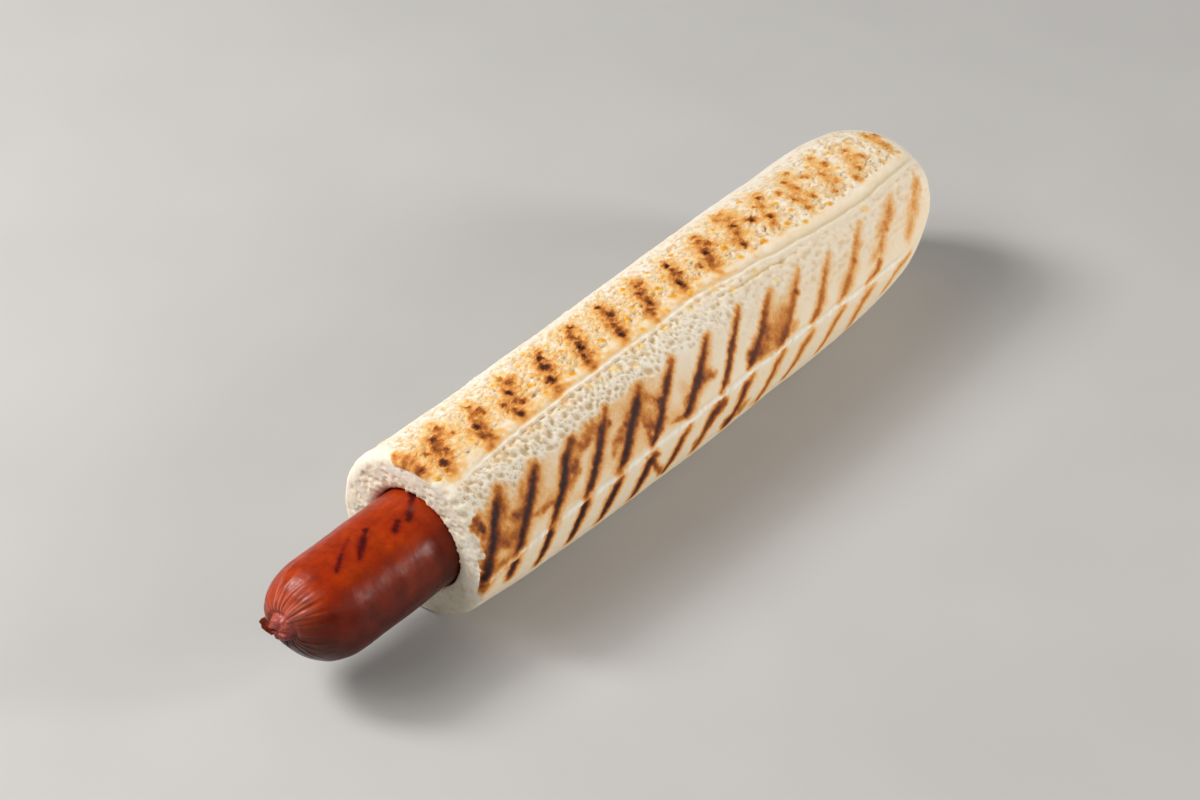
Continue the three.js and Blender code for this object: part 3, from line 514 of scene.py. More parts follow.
# pores of the torn side below crease 1: open and rounded, thinning out along the roll
n_pore = 0
placed = []
for _ in range(6400):
    s = float(rng.uniform(0.6, 140))
    d = float(rng.uniform(0.9, 11.5))
    low = 8.4 + 1.6 * float(line_noise(np.array([s / 9.0]), 9)[0])
    keep = 1.0
    if s > 82:
        keep *= math.exp(-((s - 82) / 26.0) ** 2)
    if d > low:
        keep *= math.exp(-((d - low) / 1.3) ** 2)
    if rng.uniform() > keep:
        continue
    size = float(rng.choice([0.46, 0.70, 0.98, 1.28], p=[0.22, 0.33, 0.29, 0.16])) * float(rng.uniform(0.88, 1.15))
    if d < 1.6:
        size = min(size, 0.45)
    if s > 95:
        size *= 0.85
    ok = True
    for (ps, pd, pr) in placed[-500:]:
        if (ps - s) ** 2 + (pd - d) ** 2 < (0.93 * (pr + size)) ** 2:
            ok = False
            break
    if not ok:
        continue
    placed.append((s, d, size))
    stretch = float(rng.uniform(0.9, 1.5))
    turn = float(rng.normal(1.15, 0.55))
    soft = 1.0 if s < 78 else max(0.4, 1 - (s - 78) / 70)
    press_pit(s, theta_at(s, d), size * stretch, size / stretch ** 0.5, turn, (0.18 + 0.42 * size) * soft, 0.85, 0.16, 0.86)
    n_pore += 1
# a few that are plainly larger
for (s, d, ra, rb, dep, turn) in [(20.5, 3.3, 1.6, 0.95, 0.8, -0.5), (12.6, 4.5, 1.0, 0.75, 0.6, 0.2), (26.5, 5.2, 1.0, 0.75, 0.66, 1.2),
                                  (33.5, 3.0, 1.0, 0.8, 0.66, 0.9), (41.5, 4.6, 0.95, 0.8, 0.66, 1.0), (60.5, 3.6, 0.95, 0.75, 0.6, 1.1),
                                  (64.2, 5.0, 0.85, 0.65, 0.55, 0.9), (15.6, 6.3, 0.85, 0.65, 0.55, 1.3), (52.0, 3.1, 0.95, 0.65, 0.6, 1.2),
                                  (30.6, 6.4, 0.95, 0.7, 0.6, 1.4), (46.6, 6.2, 0.9, 0.65, 0.55, 1.3), (70.5, 4.4, 0.85, 0.6, 0.5, 1.1)]:
    press_pit(s, theta_at(s, d), ra, rb, turn, dep, 1.0, 0.2)
# a row of slots pulled out along the crease, just under its lip
s = 17.0
while s < 112:
    ra = float(rng.uniform(0.8, 1.9))
    s += ra
    press_pit(s, theta_at(s, 1.55 + float(rng.normal(0, 0.12))), ra, 0.50 + 0.1 * float(rng.uniform()), 0.0,
              0.74 * (1 - 0.5 * float(sm(np.array((s - 85) / 27)))), 0.5, 0.1)
    s += ra + float(rng.uniform(0.3, 1.8))

# small pits all over the leathery top
for _ in range(3000):
    s = float(rng.uniform(1.5, 196))
    d = float(rng.uniform(-30, -3.4))
    keep = float(band(np.array(d), -31, -17, -4.2, -3.2))
    if s > 186 and rng.uniform() < float(sm(np.array((s - 186) / 10.0))):
        continue
    if rng.uniform() > 0.12 + 0.88 * keep:
        continue
    size = float(rng.uniform(0.34, 0.62)) * (1.35 if rng.uniform() < 0.12 else 1.0)
    press_pit(s, theta_at(s, d), size * float(rng.uniform(1.0, 2.0)), size * 0.9, float(rng.normal(-0.05, 0.35)),
              0.22 + 0.66 * size * float(rng.uniform(0.6, 1.2)), 0.7, 0.28, 0.62)

# leathery relief of the top: plates between narrow wrinkles, drawn out along the roll
q3 = P0 / np.array([2.0, 1.3, 1.3])
f1, f2 = worley(q3 + 0.35 * np.stack([NX, NY, NX], -1), 31)
wr = 1 - sm((f2 - f1) / 0.34)
h -= 0.22 * wr * z_top
leath = perlin(P0 / np.array([1.7, 1.3, 1.3]), 32)
h += 0.35 * leath * (0.25 + 0.95 * z_topcore)
f1b, f2b = worley(P0 / np.array([3.6, 2.4, 2.4]) + 0.3 * np.stack([NY, NX, NY], -1), 34)
h -= 0.15 * (1 - sm((f2b - f1b) / 0.18)) * z_topcore

# foam between the big pores
g1, g2 = worley(P0 / 1.3 + 0.3 * np.stack([NX, NY, NY], -1), 41)
h += z_pore * pore_fade * (0.05 * (1 - sm((g2 - g1) / 0.34)) - 0.02 + 0.16 * perlin(P0 / 2.4, 45))
z_dough = sm((D1 - 1.0) / 1.0) * (1 - sm((D1 - 12) / 7.0)) * sm((S - 84) / 30.0) * END
dough = 0.34 * perlin(P0 / np.array([2.4, 1.3, 1.3]), 43) + 0.24 * perlin(P0 / 1.15, 44)
h += z_dough * (1.25 * dough - 0.12 * (1 - sm((g2 - g1) / 0.26)))

# stretch streaks across the roll, just under the pores
streak = perlin(np.stack([S / 0.95, D1 / 3.4, np.full_like(S, 3.3)], -1), 51)
h -= 0.12 * np.clip(streak * 2.0 - 0.25, 0, 1) * band(D1, 5.5, 8.5, 13, 18) * (1 - sm((S - 105) / 40))
h += 0.07 * perlin(P0 / np.array([1.5, 2.0, 2.0]), 52) * z_side + 0.06 * perlin(P0 / np.array([3.5, 1.7, 1.7]), 54) * z_low
# back and underside: the same skin, quieter
z_back = 1 - np.clip(z_top + z_side + z_pore + z_strip + z_low * sm((60 - D2) / 20), 0, 1)
h += z_back * (0.08 * perlin(P0 / np.array([2.8, 2.4, 2.4]), 55) - 0.05 * (1 - sm((f2b - f1b) / 0.2)))

# crease 1: near part a fine step with a pale lip under it, far part a soft fold
c_in = sm((S - 2) / 20.0) * sm((198.5 - S) / 11.0)
far1 = sm((S - 96) / 42.0)
lip_n = 1 + 0.7 * line_noise(S / 1.9, 63) + 0.4 * line_noise(S / 5.5, 64)
h -= (0.32 - 0.04 * far1) * np.exp(-(D1 / (0.30 + 0.34 * far1)) ** 2) * c_in
h += (0.14 + 0.16 * far1) * lip_n * np.exp(-((D1 - 0.72) / 0.40) ** 2) * c_in
h += (0.16 + 0.12 * far1) * np.exp(-((D1 + 2.0) / 1.3) ** 2) * c_in
h -= 0.16 * far1 * np.exp(-((D1 - 1.9) / 0.8) ** 2) * c_in
# a second faint wrinkle a little lower
wr2 = 3.6 + 0.5 * line_noise(S / 7.0, 61) - 1.1 * sm((S - 112) / 22.0)
h -= 0.46 * np.exp(-((D1 - wr2) / 0.42) ** 2) * band(S, 101, 107, 128, 140)
h += 0.20 * np.exp(-((D1 - wr2 - 0.8) / 0.45) ** 2) * band(S, 101, 107, 128, 140)
wr3 = 2.4 + 0.4 * line_noise(S / 6.0, 62)
h -= 0.24 * np.exp(-((D1 - wr3) / 0.36) ** 2) * band(S, 156, 162, 176, 184)

# crease 2: a string of small pale bumps between two faint lines
c2_in = sm((S + 0.5) / 3.0) * sm((178 - S) / 12.0)
beads = np.clip(line_noise(S / 1.5, 71) * 1.5 + 0.5, 0, 1.15) * np.clip(0.75 + 0.8 * line_noise(S / 5.5, 72), 0.15, 1.3)
h += 0.74 * beads * np.exp(-((D2 - 0.1) / 0.78) ** 2) * c2_in * (1 - 0.35 * sm((S - 110) / 40))
h -= 0.30 * np.exp(-((D2 + 1.1) / 0.45) ** 2) * c2_in * (0.6 + 0.6 * np.clip(line_noise(S / 4.0, 73) + 0.4, 0, 1))
h -= 0.26 * np.exp(-((D2 - 1.15) / 0.45) ** 2) * c2_in

# ---- browning of the skin -------------------------------------------------------
burn = np.zeros_like(S)          # 0 plain, 1 nearly black
blis = np.zeros_like(S)
MX = NX * 0.9 + 0.45 * perlin(P0 / 3.4, 81)
MY = NY * 0.9 + 0.45 * perlin(P0 / 3.4, 82)
edge_n = 0.55 * perlin(P0 / 1.25, 83) + 0.35 * perlin(P0 / 0.95, 84)
edge_w = perlin(P0 / 2.7, 85)
tone = 1 + 0.30 * perlin(P0 / 2.1, 88) + 0.22 * perlin(P0 / 1.05, 89)
blotch = perlin(P0 / 1.7, 91)


def lay(rows, value):
    burn[rows] = 1 - (1 - burn[rows]) * (1 - np.clip(value, 0, 1))


def peak(rows, value):
    burn[rows] = np.maximum(burn[rows], np.clip(value, 0, 1))


def blob(s0, th0, r, w, hard=1.0, warp=1.0):
    rows = rows_near(s0, r * 2.4 + 1)
    x, y = local(s0, th0, rows)
    d = np.hypot(x + MX[rows] * warp, y + MY[rows] * warp) / r
    lay(rows, w * np.exp(-(d ** (2 * hard)) * 1.1))


def along_line(points, warp, reach):
    """for the skin near a drawn line: distance, side, and the line's width at the nearest point"""
    pts = np.array(points, float)
    lo, hi = pts[:, 0].min(), pts[:, 0].max()
    rows = rows_near((lo + hi) / 2, (hi - lo) / 2 + reach)
    rad = RADW[rows]
    x = S[rows] + 0.5 * MX[rows] * warp
    y = rad * np.radians(TH[rows]) + 0.5 * MY[rows] * warp
    best = np.full(x.shape, 1e9)
    dist = np.full(x.shape, 1e9)
    side, wide = np.zeros(x.shape), np.ones(x.shape)
    for (sa, ta, wa), (sb, tb, wb) in zip(pts[:-1], pts[1:]):
        ax, ay, bx, by = sa, rad * np.radians(ta), sb, rad * np.radians(tb)
        ex, ey = bx - ax, by - ay
        f = np.clip(((x - ax) * ex + (y - ay) * ey) / (ex * ex + ey * ey), 0, 1)
        dx, dy = x - ax - f * ex, y - ay - f * ey
        d = np.hypot(dx, dy)
        w_ = wa + (wb - wa) * f
        hit = d - w_ / 2 < best
        best = np.where(hit, d - w_ / 2, best)
        dist = np.where(hit, d, dist)
        side = np.where(hit, np.sign(ex * dy - ey * dx), side)
        wide = np.where(hit, w_, wide)
    return rows, dist, side, wide


def stroke(points, level, run_low, run_up, warp=1.0):
    rows, dist, side, wide = along_line(points, warp, 5.5)
    deep = level * np.interp(wide / max(p[2] for p in points), [0.35, 0.75], [0.62, 1.0])
    low = sm((TH[rows] - 82) / 8.0)
    deep = deep * (1 + 0.07 * low)
    faint = float(sm(np.array((0.62 - level) / 0.3)))
    wide = wide * (1 + 0.10 * faint)
    e = dist - (0.325 + 0.10 * low) * wide + (0.52 - 0.16 * faint) * edge_n[rows] + (0.34 + 0.20 * faint) * edge_w[rows]
    run = (0.85 + 0.45 * low) * np.where(side > 0, run_up, run_low)
    out = np.interp(e / run, [0, 0.22, 0.45, 0.7, 1.0, 1.6, 2.6], [0.90, 0.74, 0.58, 0.42, 0.27, 0.11, 0.0])
    val = np.where(e < 0, np.interp(e, [-0.6, 0], [1.05, 0.90]) * (0.90 + 0.10 * tone[rows] + 0.10 * edge_w[rows]), out * (0.62 + 0.38 * tone[rows]))
    val = val * np.where(e < 0, 1 + 0.14 * faint, 1.0)
    peak(rows, deep * val)


def patch(s0, th0, ra, rb, turn, level):
    rows = rows_near(s0, max(ra, rb) * 1.5 + 1)
    x, y = local(s0, th0, rows)
    x, y = x + MX[rows] * 1.2, y + MY[rows] * 1.2
    c, s_ = math.cos(turn), math.sin(turn)
    d = np.hypot((x * c + y * s_) / ra, (-x * s_ + y * c) / rb)
    d = d + 0.30 * edge_w[rows] + 0.35 * edge_n[rows]
    level = level * (1 - 0.30 * float(sm(np.array((s0 - 96) / 14.0))) - 0.26 * float(sm(np.array((s0 - 150) / 20.0))))
    lay(rows, 0.86 * level * (1 - sm((d - 0.25) / 1.15)) * np.clip(0.25 + 0.70 * tone[rows] + 0.55 * blotch[rows], 0, 1.3))


def top_band(points, level):
    rows, dist, side, wide = along_line(points, 1.5, 10.0)
    deep = level * np.interp(wide / max(p[2] for p in points), [0.5, 0.9], [0.5, 1.0])
    k = (dist + 0.6 * edge_n[rows] + 0.5 * edge_w[rows]) / np.maximum(wide, 1.0)
    k = np.maximum(k, 0)
    val = deep * (0.11 * np.exp(-0.24 * k * k) * (1 + 2.0 * leath[rows]) + 0.26 * np.exp(-0.75 * k * k) * (1 + 0.8 * leath[rows]) + 0.52 * np.exp(-5.6 * k ** 2.2) * (0.95 + 0.45 * leath[rows] + 0.7 * (tone[rows] - 1)))
    fade_s = 1 - 0.28 * float(sm(np.array((points[0][0] - 112) / 50.0)))
    peak(rows, val * fade_s)


for mark in STROKES:
    stroke(*mark)
for row in PATCHES:
    patch(*row)
for s0, t0, r, w in SMEARS:
    blob(s0, t0, r * 0.95, w * (0.62 - 0.26 * float(sm(np.array((s0 - 148) / 20.0)))), 0.9)
burn *= 1 - sm((S - 146) / 20) * z_side * np.clip(0.15 - 0.7 * perlin(P0 / 3.1, 92) - 0.3 * perlin(P0 / 1.3, 96), 0, 0.5)
# a light toasting between the strokes
toast = sm((D1 - 7.5) / 4.0) * (1 - sm((D2 + 2.6) / 2.2)) * (1 - 0.75 * sm((S - 66) / 24.0))
burn = 1 - (1 - burn) * (1 - 0.10 * toast * np.clip(0.9 + 0.9 * perlin(P0 / 5.0, 90), 0, 1.6))
for mark in BANDS:
    top_band(*mark)
for s0, t0, r, w in BLOBS:
    blob(s0, t0, r * 0.74, w * 0.54, 1.0, 1.0)
# toasting of the smooth strip's lower edge, strongest below the bands
low_edge = np.exp(-((D1 + 0.75) / 0.7) ** 2) * (1 - sm((S - 105) / 40)) * sm((S - 14) / 18)
burn = 1 - (1 - burn) * (1 - 0.10 * low_edge * np.clip(0.7 + 1.3 * line_noise(S / 4.5, 97), 0, 1.6))
# browning thins where crease 2 stands up, and in crease 1
gap2 = np.exp(-((D2 + 0.1) / 0.72) ** 2) * c2_in * np.interp(S, [0, 13, 19, 52, 60], [0.95, 0.85, 0.4, 0.4, 1.0]) * (0.9 + 0.6 * line_noise(S / 3.0, 86))
burn *= 1 - np.clip(gap2, 0, 1) * 0.96
burn *= 1 - 0.85 * np.exp(-((D1 - 0.6) / 0.75) ** 2)
# the same kind of marks, at random places, on the side and underside that face away
rb = np.random.default_rng(41)
for k in range(14):
    s0 = 8 + 13.3 * k + float(rb.normal(0, 1.3))
    fadek = max(0.26, 1 - 0.054 * k) * float(rb.uniform(0.86, 1.04))
    a0 = -90 + float(rb.normal(0, 3.5))
    wk = float(rb.uniform(1.5, 2.5)) * (0.45 + 0.55 * fadek)
    lean = float(rb.uniform(0.82, 1.15))
    tail = float(rb.uniform(26, 37))
    bow = float(rb.normal(0, 0.7))
    stroke([(s0 + 12.6 * lean, a0 + 7, wk * 0.45), (s0 + 9.9 * lean + bow, a0 - 1.5, wk * 0.85), (s0 + 6.4 * lean + bow, a0 - 12.5, wk * 1.15),
            (s0 + 3.0 * lean, a0 - 23.5, wk * 0.95), (s0 + 0.3, a0 - tail, wk * 0.5)], 0.93 * fadek, float(rb.uniform(0.9, 1.7)), float(rb.uniform(0.9, 1.7)))
    if rb.uniform() < 0.75:
        patch(s0 + 6 + float(rb.normal(0, 1.5)), a0 - 16 + float(rb.normal(0, 6)), float(rb.uniform(2.4, 4.4)), float(rb.uniform(1.3, 2.4)), -0.6, 0.56 * fadek)
    if rb.uniform() < 0.5:
        patch(s0 + 11, a0 - 5 + float(rb.normal(0, 6)), 2.6, 1.4, -0.6, 0.42 * fadek)
    low0 = a0 - tail - float(rb.uniform(4, 9))
    if rb.uniform() < 0.8:
        stroke([(s0 + 4.0, low0, wk * 0.6), (s0 + 1.6, low0 - 7, wk), (s0 - 0.4, low0 - 15, wk * 0.9), (s0 - 1.8, low0 - 22, wk * 0.5)],
               0.72 * fadek, 1.1, 1.1)
# pits in the browned top stay yellow
tops = np.clip(1 - sm((TH - 26) / 12), 0, 1) * sm((TH + 75) / 15)
burn *= 1 - 0.45 * np.clip(pit / 0.4, 0, 1) * np.clip(1.1 - burn, 0, 1) * tops
# spots
for s0, t0, r, w in DOTS + DOTS2:
    rows = rows_near(s0, r * 3 + 1)
    x, y = local(s0, t0, rows)
    d = np.hypot((x + 0.12 * MX[rows]) * 0.98, (y + 0.12 * MY[rows]) * 0.84) / (r * 1.03)
    fade_s = 1 - 0.20 * float(sm(np.array((s0 - 105) / 50.0)))
    peak(rows, np.interp(d, [0, 0.7, 1.0, 1.4, 2.2], [1.06, 1.0, 0.78, 0.48, 0.0]) * (0.08 + 0.83 * w) * fade_s)
for s0, t0, r, w in BLISTERS:
    rows = rows_near(s0, r * 3 + 1)
    x, y = local(s0, t0, rows)
    x, y = x + 0.35 * NX[rows], y + 0.35 * NY[rows]
    d = np.hypot((x * 0.88 + y * 0.48) / 1.16, (-x * 0.48 + y * 0.88) / 0.94) / r
    blis[rows] = np.maximum(blis[rows], (0.42 + 0.58 * w) * np.interp(d, [0, 0.7, 1.1, 1.6], [1, 0.9, 0.45, 0]))
    h[rows] += 0.10 * w * np.exp(-d * d)
rq = np.random.default_rng(99)
for _ in range(120):
    s0, t0 = float(rq.uniform(6, 192)), float(rq.uniform(-60, 24))
    rows = rows_near(s0, 2)
    x, y = local(s0, t0, rows)
    d = np.hypot(x + 0.4 * NX[rows], y + 0.4 * NY[rows]) / float(rq.uniform(0.4, 0.62))
    blis[rows] = np.maximum(blis[rows], float(rq.uniform(0.15, 0.45)) * np.exp(-d * d))
for _ in range(260):
    s0, t0 = float(rq.uniform(6, 192)), float(rq.uniform(140, 300))
    rows = rows_near(s0, 2)
    x, y = local(s0, t0, rows)
    d = np.hypot(x + 0.4 * NX[rows], y + 0.4 * NY[rows]) / float(rq.uniform(0.5, 0.9))
    blis[rows] = np.maximum(blis[rows], float(rq.uniform(0.2, 0.7)) * np.exp(-d * d))
burn *= (1 - CR) * (1 - 0.45 * (1 - sm((S - crumb_edge) / 1.7)))
# hot skin sinks a little and cracks
h -= 0.12 * sm((burn - 0.55) / 0.3) + 0.06 * perlin(P0 / 1.1, 87) * sm((burn - 0.25) / 0.4)
h -= pit

# the rim is crumb: the same noise as on the cut face
face_h = crumb_relief(P0)
h += (0.26 * perlin(P0 / 1.7, 98) + 0.10 * perlin(P0 / 0.95, 99)) * (1 - sm((S - 1.2) / 1.6))
h = h * (1 - CR) + (face_h - pit * (0.35 + 0.65 * z_pore)) * CR
h -= 0.10 * perlin(P0 / 3.0, 99) * (1 - END)
h *= sm((L - 0.05 - S) / 1.5 + 0.25)

PS = P0 + N0 * h[..., None]
PS[..., 2] = np.where(PS[..., 2] > 1.4, PS[..., 2], np.maximum(0, (PS[..., 2] - 0.35) * 4 / 3))

attr_skin = dict(
    burn=burn, blister=blis * MOUTH,
    # cavity: pits, pores and hollows of the dough get a tan tint that is painted shade
    cavity_shade=np.clip((pit + 0.10 * wr * z_top) / 0.5 + z_dough * np.clip(-2.6 * dough - 0.06, 0, 0.55), 0, 1),
    pore=np.clip(z_pore * (0.35 + 0.65 * pore_fade) + 0.30 * band(D1, 5.5, 8.5, 13, 18) * pore_fade + 0.12 * z_side + 0.12 * z_low, 0, 1) * MOUTH * POLE,
    leather=np.clip(z_top * 0.6 + z_topcore * 0.4, 0, 1),
    strip=np.clip(z_strip * (0.55 + 0.5 * perlin(P0 / 4.0, 95)), 0, 1) * END,
    # the grooves of both creases and the wrinkle below crease 1: painted shade
    crease_shade=np.clip(np.exp(-((D1 + 0.08) / (0.42 + 0.25 * far1)) ** 2) * c_in * (0.9 - 0.1 * far1) + 0.7 * np.exp(-((D1 - wr2) / 0.5) ** 2) * band(S, 101, 107, 128, 140)
                 + 0.7 * np.exp(-((D2 + 1.1) / 0.5) ** 2) * c2_in, 0, 1),
    lip=np.clip(np.exp(-((D1 - 0.72) / 0.42) ** 2) * c_in * np.clip(lip_n - 0.3, 0.1, 0.8) * (1 - 0.55 * far1)
                + np.clip(1.2 * beads + 0.5, 0, 1) * np.exp(-((D2 - 0.1) / 1.05) ** 2) * c2_in, 0, 1),
    side=np.clip(sm((D1 + 1.0) / 3.0) * (1 - 0.35 * sm((D2 - 1) / 6)), 0, 1) * np.where(TW > 0, 1 - sm((TW - 112) / 55), 0) * POLE,
    grease_and_mouth_shade=np.zeros_like(S),
    crumb=CR, low=z_low * (1 - sm((D2 - 22) / 10)) * POLE,
)

# ---- cut face, mouth and bore -------------------------------------------------------
fth = np.linspace(0, 360, NF, endpoint=False) - 180.0
rnd = rim_round(fth)
outer = skin_point(np.zeros(NF), bun_section(rnd, fth) - rnd, fth)
mouth_soft = 0.4 + 2.2 * np.clip(np.cos(np.radians(fold(fth + 58))), 0, 1) ** 2
inner = round_point(np.zeros(NF), BORE_R + mouth_soft, fth)
face_rows, face_kind = [], []
for t in np.linspace(0.045, 1.0, 20):
    face_rows.append(outer * (1 - t) + inner * t)
    face_kind.append(0.0)
for q in (0.75, 0.5, 0.25, 0.0):
    a = q * np.pi / 2
    face_rows.append(round_point(mouth_soft * (1 - np.sin(a)), BORE_R + mouth_soft * (1 - np.cos(a)), fth))
    face_kind.append(1 - q)
for s in (0.7, 1.5, 2.6, 4.2):
    face_rows.append(round_point(mouth_soft + s, BORE_R, fth))
    face_kind.append(1.0)
F0 = np.array(face_rows)
FK = np.repeat(np.array(face_kind)[:, None], NF, 1)
NFc = grid_normals(F0)
if (NFc[5, :, 0].mean()) > 0:
    NFc = -NFc
# holes of the crumb: points in space, so that they run on over the rim
fpit = np.zeros(F0.shape[:2])
rf = np.random.default_rng(512)
rim_part = slice(0, 14)
rim_pit = np.zeros(PS[rim_part].shape[:2])
wave_f, wave_p = 0.4 * perlin(F0 / 1.2, 101), 0.4 * perlin(P0[rim_part] / 1.2, 101)
for _ in range(560):
    a = float(rf.uniform(0, 2 * np.pi))
    rr = float(rf.uniform(14.4, 25.0))
    flat = float(rf.uniform(0.8, 1.3))
    size = float(rf.choice([0.40, 0.56, 0.8, 1.1], p=[0.42, 0.36, 0.17, 0.05])) * float(rf.uniform(0.85, 1.2))
    cx = 0.0 if rr < 22 else float(rf.uniform(0, 2.4))
    c0 = np.array([cx, 6.45 - rr * math.sin(a), 24.3 + rr * math.cos(a)])
    for pts, put_pit, shift_n in ((F0, fpit, wave_f), (P0[rim_part], rim_pit, wave_p)):
        d = np.linalg.norm((pts - c0) * np.array([1.0, 1.0, flat]), axis=-1) / size + shift_n
        m = d < 1.6
        put_pit[m] = np.maximum(put_pit[m], (0.04 + 0.24 * size) * sm((1.12 - d[m]) / 0.9))
fh = crumb_relief(F0) - fpit
PS[rim_part] -= N0[rim_part] * (rim_pit * CR[rim_part])[..., None]
attr_skin["cavity_shade"][rim_part] = np.maximum(attr_skin["cavity_shade"][rim_part] * (1 - 0.4 * CR[rim_part]), np.clip(rim_pit / 0.6, 0, 1) * CR[rim_part])
# small nubs of crumb lean over the hole's edge
nub = np.clip(perlin(F0 / np.array([2.0, 1.25, 1.25]), 106) - 0.08, 0, 1) * band(FK, -0.1, 0.25, 0.7, 1.05)
fh += 1.0 * nub
fh *= np.where(FK > 0.99, 0.45, 1.0)
FP = F0 + NFc * fh[..., None]

bore_rows = []
bth = np.linspace(0, 360, NB, endpoint=False) - 180.0
for s in (8, 13, 22, 38, 60, 88, 118, 145, 160):
    bore_rows.append(round_point(np.full(NB, float(s)), BORE_R, bth))
for q in (0.9, 0.7, 0.5, 0.3, 0.15):
    s = BORE_DEPTH - BORE_END * (1 - math.cos(q * math.pi / 2))
    bore_rows.append(round_point(np.full(NB, s), BORE_R * math.sin(q * math.pi / 2) ** 0.8, bth))
BP = np.array(bore_rows)


def zipper(a_idx, a_ang, b_idx, b_ang):
    """triangles between two closed rings with different numbers of points"""
    tris = []
    a_ang, b_ang = np.asarray(a_ang), np.asarray(b_ang)
    na, nb = len(a_idx), len(b_idx)
    a0 = a_ang - a_ang[0]
    j0 = int(np.argmin(np.abs(fold(b_ang - a_ang[0]))))
    border = [(j0 + k) % nb for k in range(nb)]
    b0 = np.array([fold(b_ang[j0] - a_ang[0]) + ((b_ang[j] - b_ang[j0]) % 360) for j in border])
    i = j = 0
    while i < na or j < nb:
        na_next = a0[(i + 1)] if i + 1 < na else 360.0
        nb_next = b0[(j + 1)] if j + 1 < nb else 360.0 + b0[0]
        if j >= nb or (i < na and na_next <= nb_next):
            tris.append((a_idx[(i + 1) % na], a_idx[i % na], b_idx[border[j % nb]]))
            i += 1
        else:
            tris.append((a_idx[i % na], b_idx[border[j % nb]], b_idx[border[(j + 1) % nb]]))
            j += 1
    return tris


def build_mesh(name, verts_mm, faces, uvs, attrs, mats, mat_index=None):
    v = np.asarray(verts_mm, float) * 0.001
    v[:, 0] += OX * 0.001
    v[:, 1] += OY * 0.001
    sizes = np.array([len(f) for f in faces], np.int32)
    flat = np.concatenate([np.asarray(f, np.int32) for f in faces])
    # turn the faces outwards
    vol = 0.0
    start = np.concatenate([[0], np.cumsum(sizes)[:-1]])
    for k in (3, 4):
        m = sizes == k
        if m.any():
            idx = start[m][:, None] + np.arange(k)
            q = v[flat[idx]]
            for t in range(1, k - 1):
                vol += np.einsum("ij,ij->i", q[:, 0], np.cross(q[:, t], q[:, t + 1])).sum() / 6
    uv_flat = np.concatenate([np.asarray(u, float).reshape(-1, 2) for u in uvs])
    if vol < 0:
        for s0, k in zip(start, sizes):
            flat[s0:s0 + k] = flat[s0:s0 + k][::-1]
            uv_flat[s0:s0 + k] = uv_flat[s0:s0 + k][::-1]
    me = bpy.data.meshes.new(name)
    me.vertices.add(len(v))
    me.vertices.foreach_set("co", v.astype(np.float32).ravel())
    me.loops.add(len(flat))
    me.loops.foreach_set("vertex_index", flat)
    me.polygons.add(len(sizes))
    me.polygons.foreach_set("loop_start", start.astype(np.int32))
    me.polygons.foreach_set("loop_total", sizes)
    me.polygons.foreach_set("use_smooth", np.ones(len(sizes), bool))
    if mat_index is not None:
        me.polygons.foreach_set("material_index", np.asarray(mat_index, np.int32))
    uvl = me.uv_layers.new(name="OFBake")
    uvl.data.foreach_set("uv", uv_flat.astype(np.float32).ravel())
    for k, val in attrs.items():
        a = me.attributes.new(k, "FLOAT", "POINT")
        a.data.foreach_set("value", np.asarray(val, np.float32).ravel())
    me.update(calc_edges=True)
    me.validate()
    for m in mats:
        me.materials.append(m)
    ob = bpy.data.objects.new(name, me)
    scene.collection.objects.link(ob)
    return ob


# vertex numbering: skin rows, far pole, face rows, bore rows, bore pole
NR = PS.shape[0]
n_skin = NR * NC
i_pole = n_skin
far_pole = skin_point(np.array([L]), np.array([0.0]), np.array([0.0]))[0]
far_pole = PS[-1].mean(0) * np.array([0, 1, 1]) + np.array([max(L, PS[-1][:, 0].mean() + 0.02), 0, 0])
face_base = n_skin + 1
NFR = FP.shape[0]
bore_base = face_base + NFR * NF
NBR = BP.shape[0]
i_bpole = bore_base + NBR * NB
bore_pole = round_point(np.array([BORE_DEPTH]), np.array([0.0]), np.array([0.0]))[0]
verts = np.concatenate([PS.reshape(-1, 3), far_pole[None], FP.reshape(-1, 3), BP.reshape(-1, 3), bore_pole[None]])

faces, uvs = [], []
# layout of the bake map: skin unrolled at the bottom, cut face and bore above it
prof = np.concatenate([[0], np.cumsum(np.linalg.norm(np.diff(P0.mean(1) * 0 + np.stack([S.mean(1), bun_radius(np.maximum(S.mean(1), 1.5)), 0 * S.mean(1)], -1), axis=0), axis=-1))])
cum_c = np.concatenate([[0], np.cumsum(np.linalg.norm(np.diff(np.concatenate([P0[60], P0[60][:1]]), axis=0), axis=-1))])
k_uv = 0.985 / prof[-1]
U = 0.006 + prof * k_uv
V = 0.006 + cum_c * k_uv
idx = np.arange(n_skin).reshape(NR, NC)
for i in range(NR - 1):
    a, b = idx[i], idx[i + 1]
    a2, b2 = np.roll(a, -1), np.roll(b, -1)
    f = np.stack([a, a2, b2, b], -1)
    faces.append(f)
    uvs.append(np.stack([np.stack([np.full(NC, U[i]), V[:-1]], -1), np.stack([np.full(NC, U[i]), V[1:]], -1),
                         np.stack([np.full(NC, U[i + 1]), V[1:]], -1), np.stack([np.full(NC, U[i + 1]), V[:-1]], -1)], 1))
quad_faces = np.concatenate(faces)
quad_uv = np.concatenate(uvs)
all_faces = list(quad_faces)
all_uv = list(quad_uv)
last = idx[-1]
for j in range(NC):
    all_faces.append((last[j], last[(j + 1) % NC], i_pole))
    all_uv.append(((U[-1], V[j]), (U[-1], V[j + 1]), (min(U[-1] + 0.0015, 0.998), (V[j] + V[j + 1]) / 2)))
v_top = 0.006 + cum_c[-1] * k_uv + 0.012


def face_uv(p):
    return (0.012 + (p[1] - 6.677 + 26.5) * k_uv, v_top + (p[2] - 24.4 + 26.5) * k_uv)


